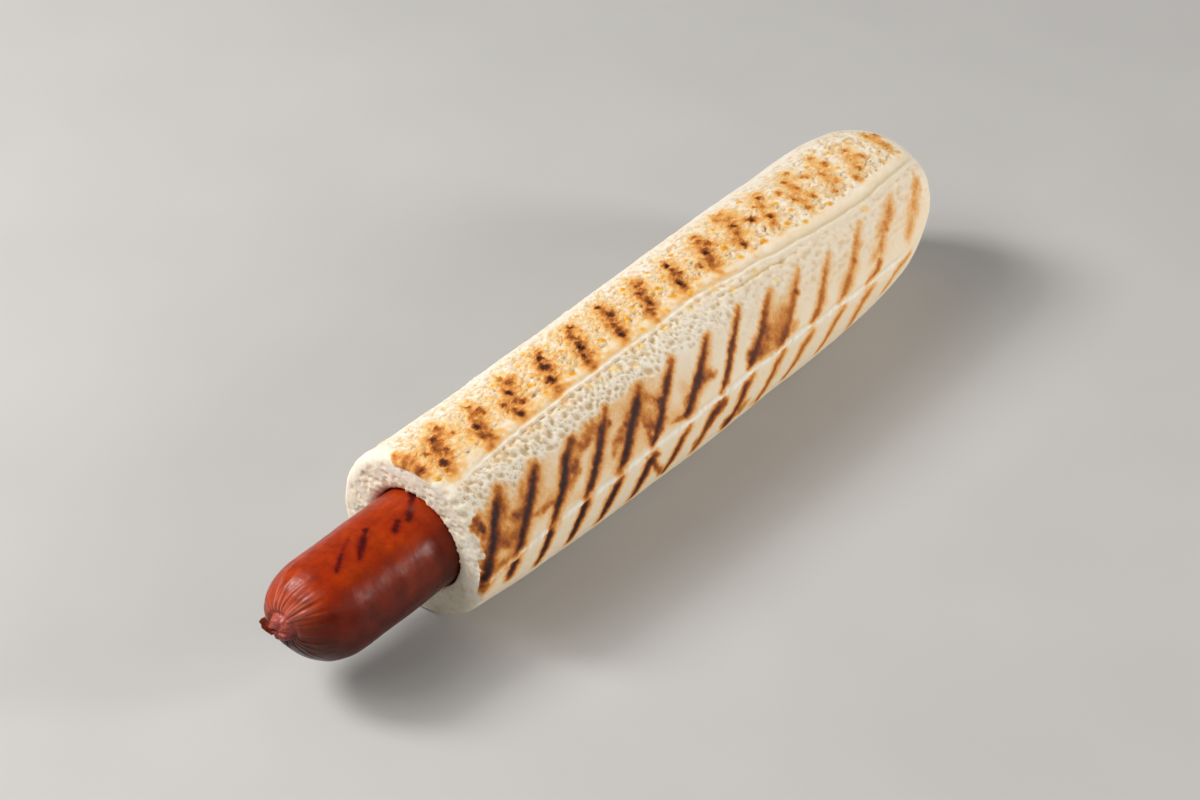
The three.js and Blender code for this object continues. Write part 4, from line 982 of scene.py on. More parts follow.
n_before_face = len(all_faces)
ring0 = [face_base + j for j in range(NF)]
for tri in zipper(list(idx[0]), rim_th, ring0, fth):
    all_faces.append(tri)
    all_uv.append([face_uv(verts[t]) for t in tri])
fidx = face_base + np.arange(NFR * NF).reshape(NFR, NF)
wall_u0 = 0.012 + 53.5 * k_uv + 0.01
for i in range(NFR - 1):
    for j in range(NF):
        j2 = (j + 1) % NF
        q = (fidx[i, j2], fidx[i, j], fidx[i + 1, j], fidx[i + 1, j2])
        all_faces.append(q)
        if FK[i + 1, 0] > 0.99:
            jj = [j + 1, j, j, j + 1]
            ii = [i, i, i + 1, i + 1]
            all_uv.append([(wall_u0 + (ii[k] - NFR + 6) * 0.9 * k_uv, v_top + jj[k] / NF * 48 * k_uv) for k in range(4)])
        else:
            all_uv.append([face_uv(F0.reshape(-1, 3)[t - face_base]) for t in q])
bidx = bore_base + np.arange(NBR * NB).reshape(NBR, NB)
wu = wall_u0 + 7 * 0.9 * k_uv
for tri in zipper(list(fidx[-1]), fth, list(bidx[0]), bth):
    all_faces.append(tri)
    all_uv.append([(wu + (1.2 * k_uv if t >= bore_base else 0), v_top + ((t - face_base) % NF / NF if t < bore_base else (t - bore_base) % NB / NB) * 48 * k_uv) for t in tri])
for i in range(NBR - 1):
    for j in range(NB):
        j2 = (j + 1) % NB
        all_faces.append((bidx[i, j2], bidx[i, j], bidx[i + 1, j], bidx[i + 1, j2]))
        all_uv.append([(wu + (1.6 + ii * 2.2) * k_uv, v_top + jj / NB * 48 * k_uv) for ii, jj in ((i, j + 1), (i, j), (i + 1, j), (i + 1, j + 1))])
for j in range(NB):
    all_faces.append((bidx[-1, (j + 1) % NB], bidx[-1, j], i_bpole))
    all_uv.append([(wu + (1.6 + (NBR - 1) * 2.2) * k_uv, v_top + (j + 1) / NB * 48 * k_uv), (wu + (1.6 + (NBR - 1) * 2.2) * k_uv, v_top + j / NB * 48 * k_uv),
                   (wu + (1.6 + NBR * 2.2) * k_uv, v_top + (j + 0.5) / NB * 48 * k_uv)])

n_rest = len(verts) - n_skin
attrs = {}
for k, val in attr_skin.items():
    tail = np.zeros(n_rest)
    if k == "crumb":
        tail[1:] = 1
    # round the mouth of the hole the crumb turns tan: partly grease, partly painted shade where the sausage meets the
    # crumb
    if k == "grease_and_mouth_shade":
        tail[1:1 + NFR * NF] = (0.55 * sm((0.55 - np.linalg.norm(F0[..., 1:] - np.array([float(saus_y(0)), float(saus_z(0))]), axis=-1) + BORE_R + 1.6) / 2.6)
                                * (1 - 0.5 * sm((FK - 0.2) / 0.6))).ravel()
    if k == "cavity_shade":
        tail[1:1 + NFR * NF] = np.clip(fpit / 0.6, 0, 1).ravel()
    attrs[k] = np.concatenate([np.asarray(val, float).ravel(), tail])

# ---------------------------------------------------------------------------
# Materials
# ---------------------------------------------------------------------------
def lin(r, g, b):
    out = []
    for c in (r, g, b):
        c = c / 255.0
        out.append(c / 12.92 if c <= 0.04045 else ((c + 0.055) / 1.055) ** 2.4)
    return (*out, 1.0)


class Nodes:
    def __init__(self, name):
        self.mat = bpy.data.materials.new(name)
        self.mat.use_nodes = True
        self.t = self.mat.node_tree
        self.bsdf = next(n for n in self.t.nodes if n.type == "BSDF_PRINCIPLED")
        self.co = self.t.nodes.new("ShaderNodeTexCoord").outputs["Object"]

    def put(self, socket, value):
        if hasattr(value, "is_output"):
            self.t.links.new(value, socket)
        else:
            socket.default_value = value

    def attr(self, name):
        n = self.t.nodes.new("ShaderNodeAttribute")
        n.attribute_name = name
        return n.outputs["Fac"]

    def noise(self, mm, detail=2.0, rough=0.5, stretch=None, distortion=0.0):
        n = self.t.nodes.new("ShaderNodeTexNoise")
        n.inputs["Scale"].default_value = 1000.0 / mm
        n.inputs["Detail"].default_value = detail
        n.inputs["Roughness"].default_value = rough
        n.inputs["Distortion"].default_value = distortion
        self.t.links.new(self.stretched(stretch), n.inputs["Vector"])
        return n.outputs["Fac"]

    def stretched(self, stretch):
        if stretch is None:
            return self.co
        m = self.t.nodes.new("ShaderNodeMapping")
        m.inputs["Scale"].default_value = stretch
        self.t.links.new(self.co, m.inputs["Vector"])
        return m.outputs["Vector"]

    def voronoi(self, mm, feature="F1", stretch=None):
        n = self.t.nodes.new("ShaderNodeTexVoronoi")
        n.feature = feature
        n.inputs["Scale"].default_value = 1000.0 / mm
        self.t.links.new(self.stretched(stretch), n.inputs["Vector"])
        return n.outputs["Distance"]

    def math(self, op, a, b=0.0, clamp=False):
        n = self.t.nodes.new("ShaderNodeMath")
        n.operation = op
        n.use_clamp = clamp
        self.put(n.inputs[0], a)
        self.put(n.inputs[1], b)
        return n.outputs[0]

    def span(self, v, a, b, c=0.0, d=1.0):
        n = self.t.nodes.new("ShaderNodeMapRange")
        n.clamp = True
        self.put(n.inputs["Value"], v)
        for k, x in (("From Min", a), ("From Max", b), ("To Min", c), ("To Max", d)):
            n.inputs[k].default_value = x
        return n.outputs[0]

    def mix(self, f, a, b, kind="MIX"):
        n = self.t.nodes.new("ShaderNodeMix")
        n.data_type = "RGBA"
        n.blend_type = kind
        self.put(n.inputs[0], f)
        self.put(n.inputs[6], a)
        self.put(n.inputs[7], b)
        return n.outputs[2]

    def ramp(self, f, stops):
        n = self.t.nodes.new("ShaderNodeValToRGB")
        e = n.color_ramp.elements
        while len(e) < len(stops):
            e.new(0.5)
        for k, (pos, col) in enumerate(stops):
            e[k].position = pos
            e[k].color = col
        self.put(n.inputs[0], f)
        return n.outputs["Color"]

    def bump(self, height, strength, dist_mm, normal=None):
        n = self.t.nodes.new("ShaderNodeBump")
        n.inputs["Strength"].default_value = strength
        n.inputs["Distance"].default_value = dist_mm * 0.001
        self.put(n.inputs["Height"], height)
        if normal is not None:
            self.put(n.inputs["Normal"], normal)
        return n.outputs["Normal"]


# ---- bread: crust and crumb in one material, driven by the mesh's own marks ----
b = Nodes("bread_crust")
a_burn, a_blis, a_cav_shade, a_pore, a_lea = (b.attr(k) for k in ("burn", "blister", "cavity_shade", "pore", "leather"))
a_strip, a_crease_shade, a_lip, a_side, a_crumb, a_low = (b.attr(k) for k in ("strip", "crease_shade", "lip", "side", "crumb", "low"))
n_big, n_mid, n_fine, n_grain = b.noise(22, 2), b.noise(4.2, 3), b.noise(0.85, 3, 0.6), b.noise(0.34, 2, 0.6)
pale = b.mix(b.span(n_big, 0.35, 0.65), lin(247, 239, 226), lin(246, 235, 218))
cream = b.mix(b.span(n_big, 0.35, 0.65), lin(243, 228, 202), lin(241, 223, 193))
base = b.mix(a_side, pale, cream)
base = b.mix(b.span(n_mid, 0.44, 0.72, 0.0, 0.30), base, lin(238, 214, 172))
base = b.mix(b.span(n_fine, 0.42, 0.74, 0.0, 0.16), base, lin(226, 204, 166))
base = b.mix(b.math("MULTIPLY", a_strip, 0.62), base, lin(240, 212, 160))
base = b.mix(b.math("MULTIPLY", a_lea, 0.6), base, lin(255, 249, 236))
mott = b.math("MULTIPLY", b.span(b.noise(1.7, 2, 0.55), 0.50, 0.68), b.span(n_mid, 0.40, 0.62, 0.2, 1.0))
base = b.mix(b.math("MULTIPLY", b.math("MULTIPLY", mott, a_lea), 0.78), base, lin(240, 198, 130))
# pits too fine for the mesh: on the leathery top and between the pores of the side
pits_top = b.span(b.voronoi(0.92, stretch=(0.72, 1, 1)), 0.40, 0.10)
pits_side = b.span(b.voronoi(0.72), 0.42, 0.12)
gate = b.span(n_mid, 0.38, 0.58, 0.25, 1.0)
n_lea = b.noise(1.15, 3, 0.55, stretch=(0.55, 1, 1))
fine_pits = b.math("ADD", b.math("MULTIPLY", b.math("MULTIPLY", pits_top, gate), a_lea), b.math("MULTIPLY", b.math("MULTIPLY", pits_side, gate), b.math("MULTIPLY", a_pore, 0.6)), clamp=True)
# hollows tinted tan: painted shade in the pits and pores
hollow_shade = b.math("ADD", a_cav_shade, b.math("MULTIPLY", fine_pits, 0.5), clamp=True)
base = b.mix(b.math("MULTIPLY", a_pore, 0.7), base, lin(249, 242, 229))
hollow_shade_col = b.mix(a_pore, lin(222, 178, 108), lin(216, 188, 138))
base = b.mix(b.math("MULTIPLY", hollow_shade, b.span(a_pore, 0.0, 0.5, 0.90, 0.84)), base, hollow_shade_col)
# tan along the crease grooves: painted shade
base = b.mix(b.math("MULTIPLY", a_crease_shade, 0.70), base, lin(212, 184, 124))
base = b.mix(b.math("MULTIPLY", a_low, 0.5), base, lin(232, 212, 178))
base = b.mix(b.math("MULTIPLY", a_lip, 0.9), base, lin(252, 248, 240))
# burnt marks: the fine noise breaks the edges up
brk = b.math("MULTIPLY", b.math("SUBTRACT", n_fine, 0.5), 0.30)
brk2 = b.math("MULTIPLY", b.math("SUBTRACT", n_grain, 0.5), 0.20)
wgt = b.math("MULTIPLY", b.span(a_burn, 0.03, 0.22), b.span(a_burn, 1.02, 0.62, 0.3, 1.0))
brk3 = b.math("MULTIPLY", b.math("MULTIPLY", b.math("SUBTRACT", n_lea, 0.5), 0.38), a_lea)
brk3 = b.math("SUBTRACT", brk3, b.math("MULTIPLY", b.math("MULTIPLY", fine_pits, 0.10), a_lea))
bb = b.math("ADD", a_burn, b.math("MULTIPLY", b.math("ADD", b.math("ADD", brk, brk2), brk3), wgt), clamp=True)
side_ramp = b.ramp(bb, [(0.0, lin(243, 222, 190)), (0.10, lin(240, 206, 160)), (0.20, lin(235, 186, 126)), (0.30, lin(226, 162, 92)),
                        (0.42, lin(204, 130, 58)), (0.54, lin(180, 104, 44)), (0.66, lin(148, 80, 37)), (0.78, lin(108, 57, 33)),
                        (0.90, lin(70, 40, 31)), (1.0, lin(46, 28, 26))])
top_ramp = b.ramp(bb, [(0.0, lin(243, 230, 208)), (0.10, lin(242, 207, 154)), (0.20, lin(238, 189, 120)), (0.30, lin(232, 167, 90)),
                       (0.42, lin(217, 145, 72)), (0.54, lin(188, 115, 50)), (0.66, lin(150, 84, 37)), (0.78, lin(106, 57, 29)),
                       (0.90, lin(72, 40, 27)), (1.0, lin(44, 27, 23))])
base = b.mix(b.span(bb, 0.015, 0.11), base, b.mix(a_side, top_ramp, side_ramp))
bl_top = b.ramp(a_blis, [(0.0, lin(248, 218, 156)), (0.35, lin(246, 198, 106)), (0.65, lin(241, 172, 54)), (1.0, lin(233, 148, 22))])
base = b.mix(b.math("MULTIPLY", b.math("MULTIPLY", b.span(a_blis, 0.0, 0.42), b.span(bb, 0.62, 0.36)), b.span(n_fine, 0.2, 0.6, 0.85, 1.0)), base, b.mix(a_side, bl_top, lin(250, 216, 150)))
crumb_col = b.mix(b.span(b.noise(1.3, 3), 0.35, 0.7), lin(250, 242, 226), lin(245, 231, 206))
# holes of the crumb tinted tan: painted shade
crumb_col = b.mix(b.math("MULTIPLY", a_cav_shade, 0.62), crumb_col, lin(222, 196, 150))
# tan crumb round the mouth: grease and painted shade
crumb_col = b.mix(b.math("MULTIPLY", b.attr("grease_and_mouth_shade"), b.span(n_mid, 0.3, 0.7, 0.5, 1.0)), crumb_col, lin(206, 164, 118))
base = b.mix(b.span(b.math("ADD", a_crumb, b.math("MULTIPLY", b.math("SUBTRACT", n_fine, 0.5), 0.35)), 0.35, 0.65), base, crumb_col)
b.put(b.bsdf.inputs["Base Color"], base)
rough = b.math("ADD", b.span(bb, 0.2, 0.9, 0.66, 0.56), b.math("MULTIPLY", a_crumb, 0.22), clamp=True)
b.put(b.bsdf.inputs["Roughness"], rough)
b.bsdf.inputs["Specular IOR Level"].default_value = 0.14
b.bsdf.inputs["Subsurface Weight"].default_value = 0.26
b.bsdf.inputs["Subsurface Radius"].default_value = (1.0, 0.62, 0.34)
b.bsdf.inputs["Subsurface Scale"].default_value = 0.0015
hgt = b.math("ADD", b.math("MULTIPLY", n_fine, 0.50), b.math("MULTIPLY", n_grain, 0.20))
hgt = b.math("ADD", hgt, b.math("MULTIPLY", b.math("MULTIPLY", n_lea, 1.45), a_lea))
hgt = b.math("SUBTRACT", hgt, b.math("MULTIPLY", fine_pits, 0.95))
b.put(b.bsdf.inputs["Normal"], b.bump(hgt, 0.7, 0.38))

bun = build_mesh("bread_roll", verts, all_faces, all_uv, attrs, [b.mat])

# ---------------------------------------------------------------------------
# Sausage
# ---------------------------------------------------------------------------
NSC = 264
tip_s = -SAUS_OUT


def cap_profile(v):
    u = np.cos(v * np.pi / 2)
    return tip_s + TIP_L * (1 - u), SAUS_R * np.maximum(1 - u * u, 0) ** TIP_P, TIP_SHIFT * u * u


vv = np.linspace(0, 1, 4000)
cs_, cr_, _ = cap_profile(vv)
arc = np.concatenate([[0], np.cumsum(np.hypot(np.diff(cs_), np.diff(cr_)))])
rho_rows = np.concatenate([np.arange(0.28, 6.0, 0.2), np.arange(6.0, arc[-1] - 0.15, 0.3)])
v_rows = np.interp(rho_rows, arc, vv)
sth = np.linspace(0, 360, NSC, endpoint=False) - 180.0
SSr, SRr, SH = cap_profile(v_rows)
body_s = np.concatenate([np.arange(tip_s + TIP_L, 3.0, 0.42), np.array([4, 6, 9, 14, 22, 34, 50, 70, 92, 115, 138, SAUS_IN - TIP_L])])
qs = np.sin(np.array([0.22, 0.42, 0.6, 0.76, 0.9, 0.97]) * np.pi / 2)
s_all = np.concatenate([SSr, body_s, SAUS_IN - TIP_L + TIP_L * qs])
r_all = np.concatenate([SRr, np.full(len(body_s), SAUS_R), SAUS_R * (1 - qs ** 2) ** TIP_P])
shift = np.concatenate([SH, np.zeros(len(body_s) + len(qs))])
rho = np.concatenate([rho_rows, arc[-1] + (body_s - body_s[0]), arc[-1] + (SAUS_IN - TIP_L - tip_s - TIP_L) + TIP_L * qs])
G = round_point(np.repeat(s_all[:, None], NSC, 1), np.repeat(r_all[:, None], NSC, 1), np.repeat(sth[None], len(s_all), 0))
G[..., 1] -= (shift * math.sin(math.radians(TIP_DIR)))[:, None]
G[..., 2] += (shift * math.cos(math.radians(TIP_DIR)))[:, None]
RHO = np.repeat(rho[:, None], NSC, 1)
STH = np.repeat(sth[None], len(s_all), 0)
SS = np.repeat(s_all[:, None], NSC, 1)
SN = grid_normals(G)
if (SN[80] * (G[80] - G[80].mean(0))).sum() < 0:
    SN = -SN
sh = 0.26 * perlin(G / 12.0, 201) + 0.10 * perlin(G / 4.5, 202) + 0.035 * perlin(G / 1.9, 215)
pleat = np.zeros_like(SS)
rp = np.random.default_rng(18)
# pleats of gathered casing: (angle, reach from the knot in mm, height, bend)
PLEATS = []
for k in range(46):
    a0 = k * 7.83 + float(rp.normal(0, 2.2))
    lit = math.exp(-(fold(a0 - 28.0) / 55.0) ** 2)
    PLEATS.append((a0, float(rp.uniform(6.0, 15.0)) + 3.0 * lit, float(rp.uniform(0.07, 0.24)) * (1 + 0.75 * lit), float(rp.normal(0, 8.0))))
for k, a0 in enumerate((-30, -21, -13, -6, 1, 8, 14, 21, 29, 38)):          # the long ones in the light
    PLEATS.append((a0 + float(rp.normal(0, 1.2)), float(rp.uniform(14.0, 19.0)), float(rp.uniform(0.18, 0.34)), float(rp.normal(6, 5.0))))
for a0, reach, amp, bend in PLEATS:
    ang = a0 + bend * np.clip((RHO - 3.5) / 12.0, 0, 1)
    dphi = np.radians(fold(STH - ang)) * np.maximum(np.minimum(RHO, 14.0), 0.4)
    wdt = 0.18 + 0.028 * RHO
    env = sm((RHO - 2.9) / 1.3) * (1 - sm((RHO - reach * 0.45) / (reach * 0.75)))
    ridge = np.exp(-(dphi / wdt) ** 2) * env
    sh += amp * ridge * (0.8 + 0.4 * perlin(G / 2.5, 203))
    pleat = np.maximum(pleat, ridge * (0.25 + 2.4 * amp))
# hollow round the knot, then the knot itself: a crumpled, twisted nub
sh -= 0.75 * np.exp(-((RHO - 4.0) / 1.15) ** 2)
knot = sm((4.3 - RHO) / 1.6)
tw = RHO * 38.0
twist = np.cos(np.radians(STH * 5 + tw)) * 0.5 + np.cos(np.radians(STH * 3 - tw * 0.7 + 60)) * 0.5
sh += knot * (1.15 + 0.28 * twist + 0.55 * perlin(G / 1.7, 204) + 0.30 * perlin(G / 0.8, 205)) * sm(RHO / 0.9 + 0.5)
ky, kz = G[..., 1] - G[0, :, 1].mean(), G[..., 2] - G[0, :, 2].mean()
sh += knot * (0.70 * np.exp(-(np.hypot(ky - 0.7, kz - 1.7) / 1.5) ** 2) + 0.55 * np.exp(-(np.hypot(ky + 0.4, kz + 2.2) / 1.4) ** 2))
sh -= knot * 0.60 * np.exp(-((kz + 0.45 + 0.25 * ky) / 0.42) ** 2)
sh -= 0.60 * np.exp(-(np.hypot(ky + 0.1, kz - 1.2) / 0.6) ** 2) * knot
# wrinkles of the casing over the shoulder and very fine cross lines on the body
sh += 0.05 * perlin(np.stack([SS / 6.0, STH / 9.0, 0 * SS], -1), 206) * sm((RHO - 6) / 6)
sh += 0.06 * perlin(np.stack([RHO / 1.6, STH / 11.0, 0 * SS + 1.7], -1), 214) * band(RHO, 4, 7, 13, 19)
sh += 0.022 * perlin(np.stack([SS / 0.9, STH / 16.0, 0 * SS + 4.4], -1), 207) * sm((RHO - 16) / 8)

char = np.zeros_like(SS)
WXs, WYs = 0.35 * perlin(G / 1.5, 208) + 0.12 * perlin(G / 0.8, 209), 0.35 * perlin(G / 1.5, 210) + 0.12 * perlin(G / 0.8, 211)


def saus_stroke(p, q, width, dark, gaps=0.0):
    x, y = SS + WXs, SAUS_R * np.radians(STH) + WYs
    ax, ay, bx, by = p[0], SAUS_R * math.radians(p[1]), q[0], SAUS_R * math.radians(q[1])
    ex, ey = bx - ax, by - ay
    f = np.clip(((x - ax) * ex + (y - ay) * ey) / (ex * ex + ey * ey), 0, 1)
    d = np.hypot(x - ax - f * ex, y - ay - f * ey)
    e = d - width * 0.36 * (0.75 + 0.5 * np.sin(np.pi * f)) + 0.6 * gaps * line_noise(f * 5 + p[0], 212)
    val = np.interp(e, [-0.5, 0.0, 0.45, 1.1, 2.3], [1.0, 0.72, 0.44, 0.22, 0.0]) * dark * (0.86 + 0.4 * line_noise(f * 4 + p[0], 213))
    np.maximum(char, np.clip(val, 0, 1), out=char)


saus_stroke((-31.3, 16.5), (-26.4, 4.8), 1.15, 0.82, 0.25)
saus_stroke((-26.0, 3.6), (-20.8, -8.6), 1.0, 0.62, 0.5)
saus_stroke((-24.2, 20.0), (-16.2, -3.0), 1.6, 0.9, 0.2)
saus_stroke((-11.9, 19.5), (-8.6, 11.6), 1.3, 0.85, 0.25)
saus_stroke((-6.3, 17.3), (1.8, -7.5), 1.7, 0.95, 0.3)
for k, (a0, dk) in enumerate([(-29, 0.8), (-17, 0.95), (-5, 0.85)]):       # the same on the side that faces away
    saus_stroke((a0 + 1.5, -128.0), (a0 + 8.5, -152.0), 1.6, dk, 0.3)
    saus_stroke((a0 - 2.0, 158.0), (a0 + 6.0, 134.0), 1.5, dk * 0.9, 0.3)
sh -= 0.14 * sm((char - 0.35) / 0.4)
d_bl = np.hypot(SS + 3.6, SAUS_R * np.radians(STH - 10.0)) / 1.05
sh += 0.18 * np.exp(-d_bl ** 2)
blistr = np.exp(-(d_bl * 1.2) ** 2)

GP = G + SN * sh[..., None]
pole_a = GP[0].mean(0) + np.array([-0.05, 0, 0])
pole_b = round_point(np.array([SAUS_IN]), np.array([0.0]), np.array([0.0]))[0]
nsr = GP.shape[0]
sidx = np.arange(nsr * NSC).reshape(nsr, NSC)
ia, ib = nsr * NSC, nsr * NSC + 1
sverts = np.concatenate([GP.reshape(-1, 3), pole_a[None], pole_b[None]])
vis = int(np.argmax(s_all > 6.0))
kk = 0.55 / rho[vis]
us = np.where(np.arange(nsr) <= vis, 0.01 + rho * kk, 0.01 + rho[vis] * kk + (np.arange(nsr) - vis) * (0.42 / (nsr - vis)))
vs = 0.01 + np.arange(NSC + 1) / NSC * min(0.97, 2 * math.pi * SAUS_R * kk)
sf, su = [], []
for i in range(nsr - 1):
    for j in range(NSC):
        j2 = (j + 1) % NSC
        sf.append((sidx[i, j], sidx[i, j2], sidx[i + 1, j2], sidx[i + 1, j]))
        su.append(((us[i], vs[j]), (us[i], vs[j + 1]), (us[i + 1], vs[j + 1]), (us[i + 1], vs[j])))
for j in range(NSC):
    j2 = (j + 1) % NSC
    sf.append((ia, sidx[0, j2], sidx[0, j]))
    su.append(((0.008, (vs[j] + vs[j + 1]) / 2), (us[0], vs[j + 1]), (us[0], vs[j])))
    sf.append((ib, sidx[-1, j], sidx[-1, j2]))
    su.append(((us[-1] + 0.005, (vs[j] + vs[j + 1]) / 2), (us[-1], vs[j]), (us[-1], vs[j + 1])))
# the pink ring round the knot fades on the underside: painted shade
up_for_shade = np.clip(np.cos(np.radians(STH - 8)), -1, 1)
sattr = dict(
    char=char, pleat=np.clip(pleat, 0, 1),
    pink=np.clip(knot * 1.1 + 0.42 * np.exp(-((RHO - 4.2) / 2.2) ** 2) * (0.25 + 0.75 * np.clip(up_for_shade, 0, 1)), 0, 1),
    tip=np.clip(1 - sm((RHO - 7) / 9.0) + 0.25 * perlin(G / 3.0, 220), 0, 1) * sm((RHO - 1) / 3),
    # top: a browner top of the casing, and below it a painted shade that darkens the underside
    top_tone_and_shade=np.clip(np.interp(fold(STH - 8), [-180, -120, -75, -40, 0, 20, 34, 50, 68, 92, 120, 180], [0.05, 0.25, 0.72, 0.96, 1.0, 0.88, 0.62, 0.42, 0.27, 0.12, 0.05, 0.04])
                * (1 + 0.5 * perlin(G / 5.0, 221)) + 0.05 * perlin(G / 3.0, 222), 0, 1),
    nub2=np.clip(knot * 1.2 * sm((0.2 - (G[..., 2] - G[0, :, 2].mean() + 0.45)) / 1.0), 0, 1),
    scab=blistr,
)
sattr = {k: np.concatenate([v.ravel(), [v[0].mean(), v[-1].mean()]]) for k, v in sattr.items()}

m = Nodes("sausage_skin")
c_char, c_pleat, c_pink, c_tip, c_top_tone_shade, c_scab, c_nub2 = (m.attr(k) for k in ("char", "pleat", "pink", "tip", "top_tone_and_shade", "scab", "nub2"))
s_big, s_mid, s_fine = m.noise(9, 2), m.noise(2.6, 4, 0.6), m.noise(0.7, 3, 0.6)
# hi on the upper side, lo underneath: a browner top with a painted shade on the underside
hi = m.mix(m.span(s_big, 0.35, 0.65), lin(180, 58, 4), lin(158, 42, 4))
lo = m.mix(m.span(s_big, 0.35, 0.65), lin(46, 10, 5), lin(34, 6, 4))
sb = m.mix(c_top_tone_shade, lo, hi)
sb = m.mix(m.math("MULTIPLY", m.span(s_mid, 0.44, 0.66, 0.0, 0.5), c_top_tone_shade), sb, lin(116, 24, 5))
sb = m.mix(m.math("MULTIPLY", m.span(s_fine, 0.50, 0.75, 0.02, 0.25), m.span(c_top_tone_shade, 0.0, 0.8, 0.12, 1.0)), sb, lin(172, 70, 16))
streaks = m.noise(1.3, 3, 0.6, stretch=(0.22, 1, 1))
sb = m.mix(m.math("MULTIPLY", m.span(streaks, 0.52, 0.75, 0.0, 0.3), m.span(c_top_tone_shade, 0.0, 0.8, 0.25, 1.0)), sb, lin(120, 32, 14))
freck = m.math("MULTIPLY", m.span(m.noise(0.9, 2, 0.5), 0.60, 0.72), m.span(m.noise(4.5, 2), 0.40, 0.60))
sb = m.mix(m.math("MULTIPLY", m.math("MULTIPLY", freck, c_top_tone_shade), 0.42), sb, lin(88, 16, 6))
# the tip lighter only on its upper side: painted light
sb = m.mix(m.math("MULTIPLY", m.math("MULTIPLY", c_tip, c_top_tone_shade), m.span(s_mid, 0.3, 0.7, 0.02, 0.14)), sb, lin(184, 84, 40))
# pleat crests pinkish white on the upper side and dark underneath: partly whitened casing, partly painted highlight and
# painted shade
sb = m.mix(m.math("MULTIPLY", m.math("MULTIPLY", c_pleat, c_pleat), 0.58), sb, m.mix(m.span(c_top_tone_shade, 0.2, 0.9), lin(74, 24, 10), lin(224, 140, 122)))
sb = m.mix(m.math("MULTIPLY", c_pink, 0.92), sb, m.mix(m.math("MULTIPLY", c_nub2, 0.8), m.mix(m.span(s_mid, 0.35, 0.65), lin(158, 62, 54), lin(190, 104, 94)), lin(112, 46, 40)))
cb = m.math("ADD", c_char, m.math("MULTIPLY", m.math("SUBTRACT", s_fine, 0.5), 0.35), clamp=True)
char_col = m.ramp(cb, [(0.0, lin(150, 42, 12)), (0.3, lin(124, 24, 9)), (0.6, lin(96, 15, 6)), (0.85, lin(68, 9, 5)), (1.0, lin(46, 8, 6))])
sb = m.mix(m.span(cb, 0.10, 0.60), sb, char_col)
sb = m.mix(m.math("MULTIPLY", c_scab, 0.28), sb, lin(140, 96, 70))
m.put(m.bsdf.inputs["Base Color"], sb)
m.put(m.bsdf.inputs["Roughness"], m.math("ADD", m.span(s_mid, 0.3, 0.7, 0.27, 0.35), m.math("MULTIPLY", c_char, 0.12)))
m.bsdf.inputs["Specular IOR Level"].default_value = 0.2
m.bsdf.inputs["Subsurface Weight"].default_value = 0.05
m.bsdf.inputs["Subsurface Radius"].default_value = (1.0, 0.28, 0.12)
m.bsdf.inputs["Subsurface Scale"].default_value = 0.0022
skin_b = m.math("ADD", m.math("MULTIPLY", s_fine, 0.6), m.math("MULTIPLY", m.noise(0.5, 2, 0.5, stretch=(1, 0.25, 0.25)), 0.5))
m.put(m.bsdf.inputs["Normal"], m.bump(skin_b, 0.22, 0.12))
sausage = build_mesh("sausage_skin", sverts, sf, su, sattr, [m.mat])

# ---- loose flap of casing beside the knot: a thin curled leaf with a ragged edge ----
FU, FV = 26, 18
PB = np.array([-45.6, float(saus_y(tip_s)) + 4.0, float(saus_z(tip_s)) + 3.1])
base_a, base_b = PB + np.array([0.2, -1.0, -3.6]), PB + np.array([-0.1, 2.6, -0.2])
tip_a, tip_b = PB + np.array([-2.3, -0.6, -2.8]), PB + np.array([-2.9, 2.7, 0.9])
uu = np.linspace(0, 1, FU)[:, None]
wv = np.linspace(0, 1, FV)[None, :]
rag = 1.0 + 0.28 * line_noise(uu[:, 0] * 7.0, 301)[:, None] + 0.16 * line_noise(uu[:, 0] * 17.0, 302)[:, None]
prof_u = np.clip(np.sin(np.pi * (0.1 + 0.86 * uu)), 0, 1) ** 0.55
reach = wv * rag * prof_u
leaf = ((1 - uu)[..., None] * base_a + uu[..., None] * base_b) * (1 - reach)[..., None] + ((1 - uu)[..., None] * tip_a + uu[..., None] * tip_b) * reach[..., None]
curl = np.array([-0.25, 0.35, -0.9])
leaf = leaf + (np.sin(reach * 2.6 + 0.3) * 0.55 + 0.25 * perlin(leaf / 1.4, 303))[..., None] * curl
ln = np.cross(np.gradient(leaf, axis=0), np.gradient(leaf, axis=1))
ln /= np.maximum(np.linalg.norm(ln, axis=-1, keepdims=True), 1e-9)
thick = (0.34 - 0.22 * wv + 0 * uu)[..., None]
A, B = leaf + ln * thick / 2, leaf - ln * thick / 2
fverts = np.concatenate([A.reshape(-1, 3), B.reshape(-1, 3)])
ida = np.arange(FU * FV).reshape(FU, FV)
idb = ida + FU * FV
ff, fu = [], []


def uvq(q, off):
    return [(off + (t % (FU * FV)) // FV / FU * 0.44, 0.02 + (t % FV) / FV * 0.44) for t in q]


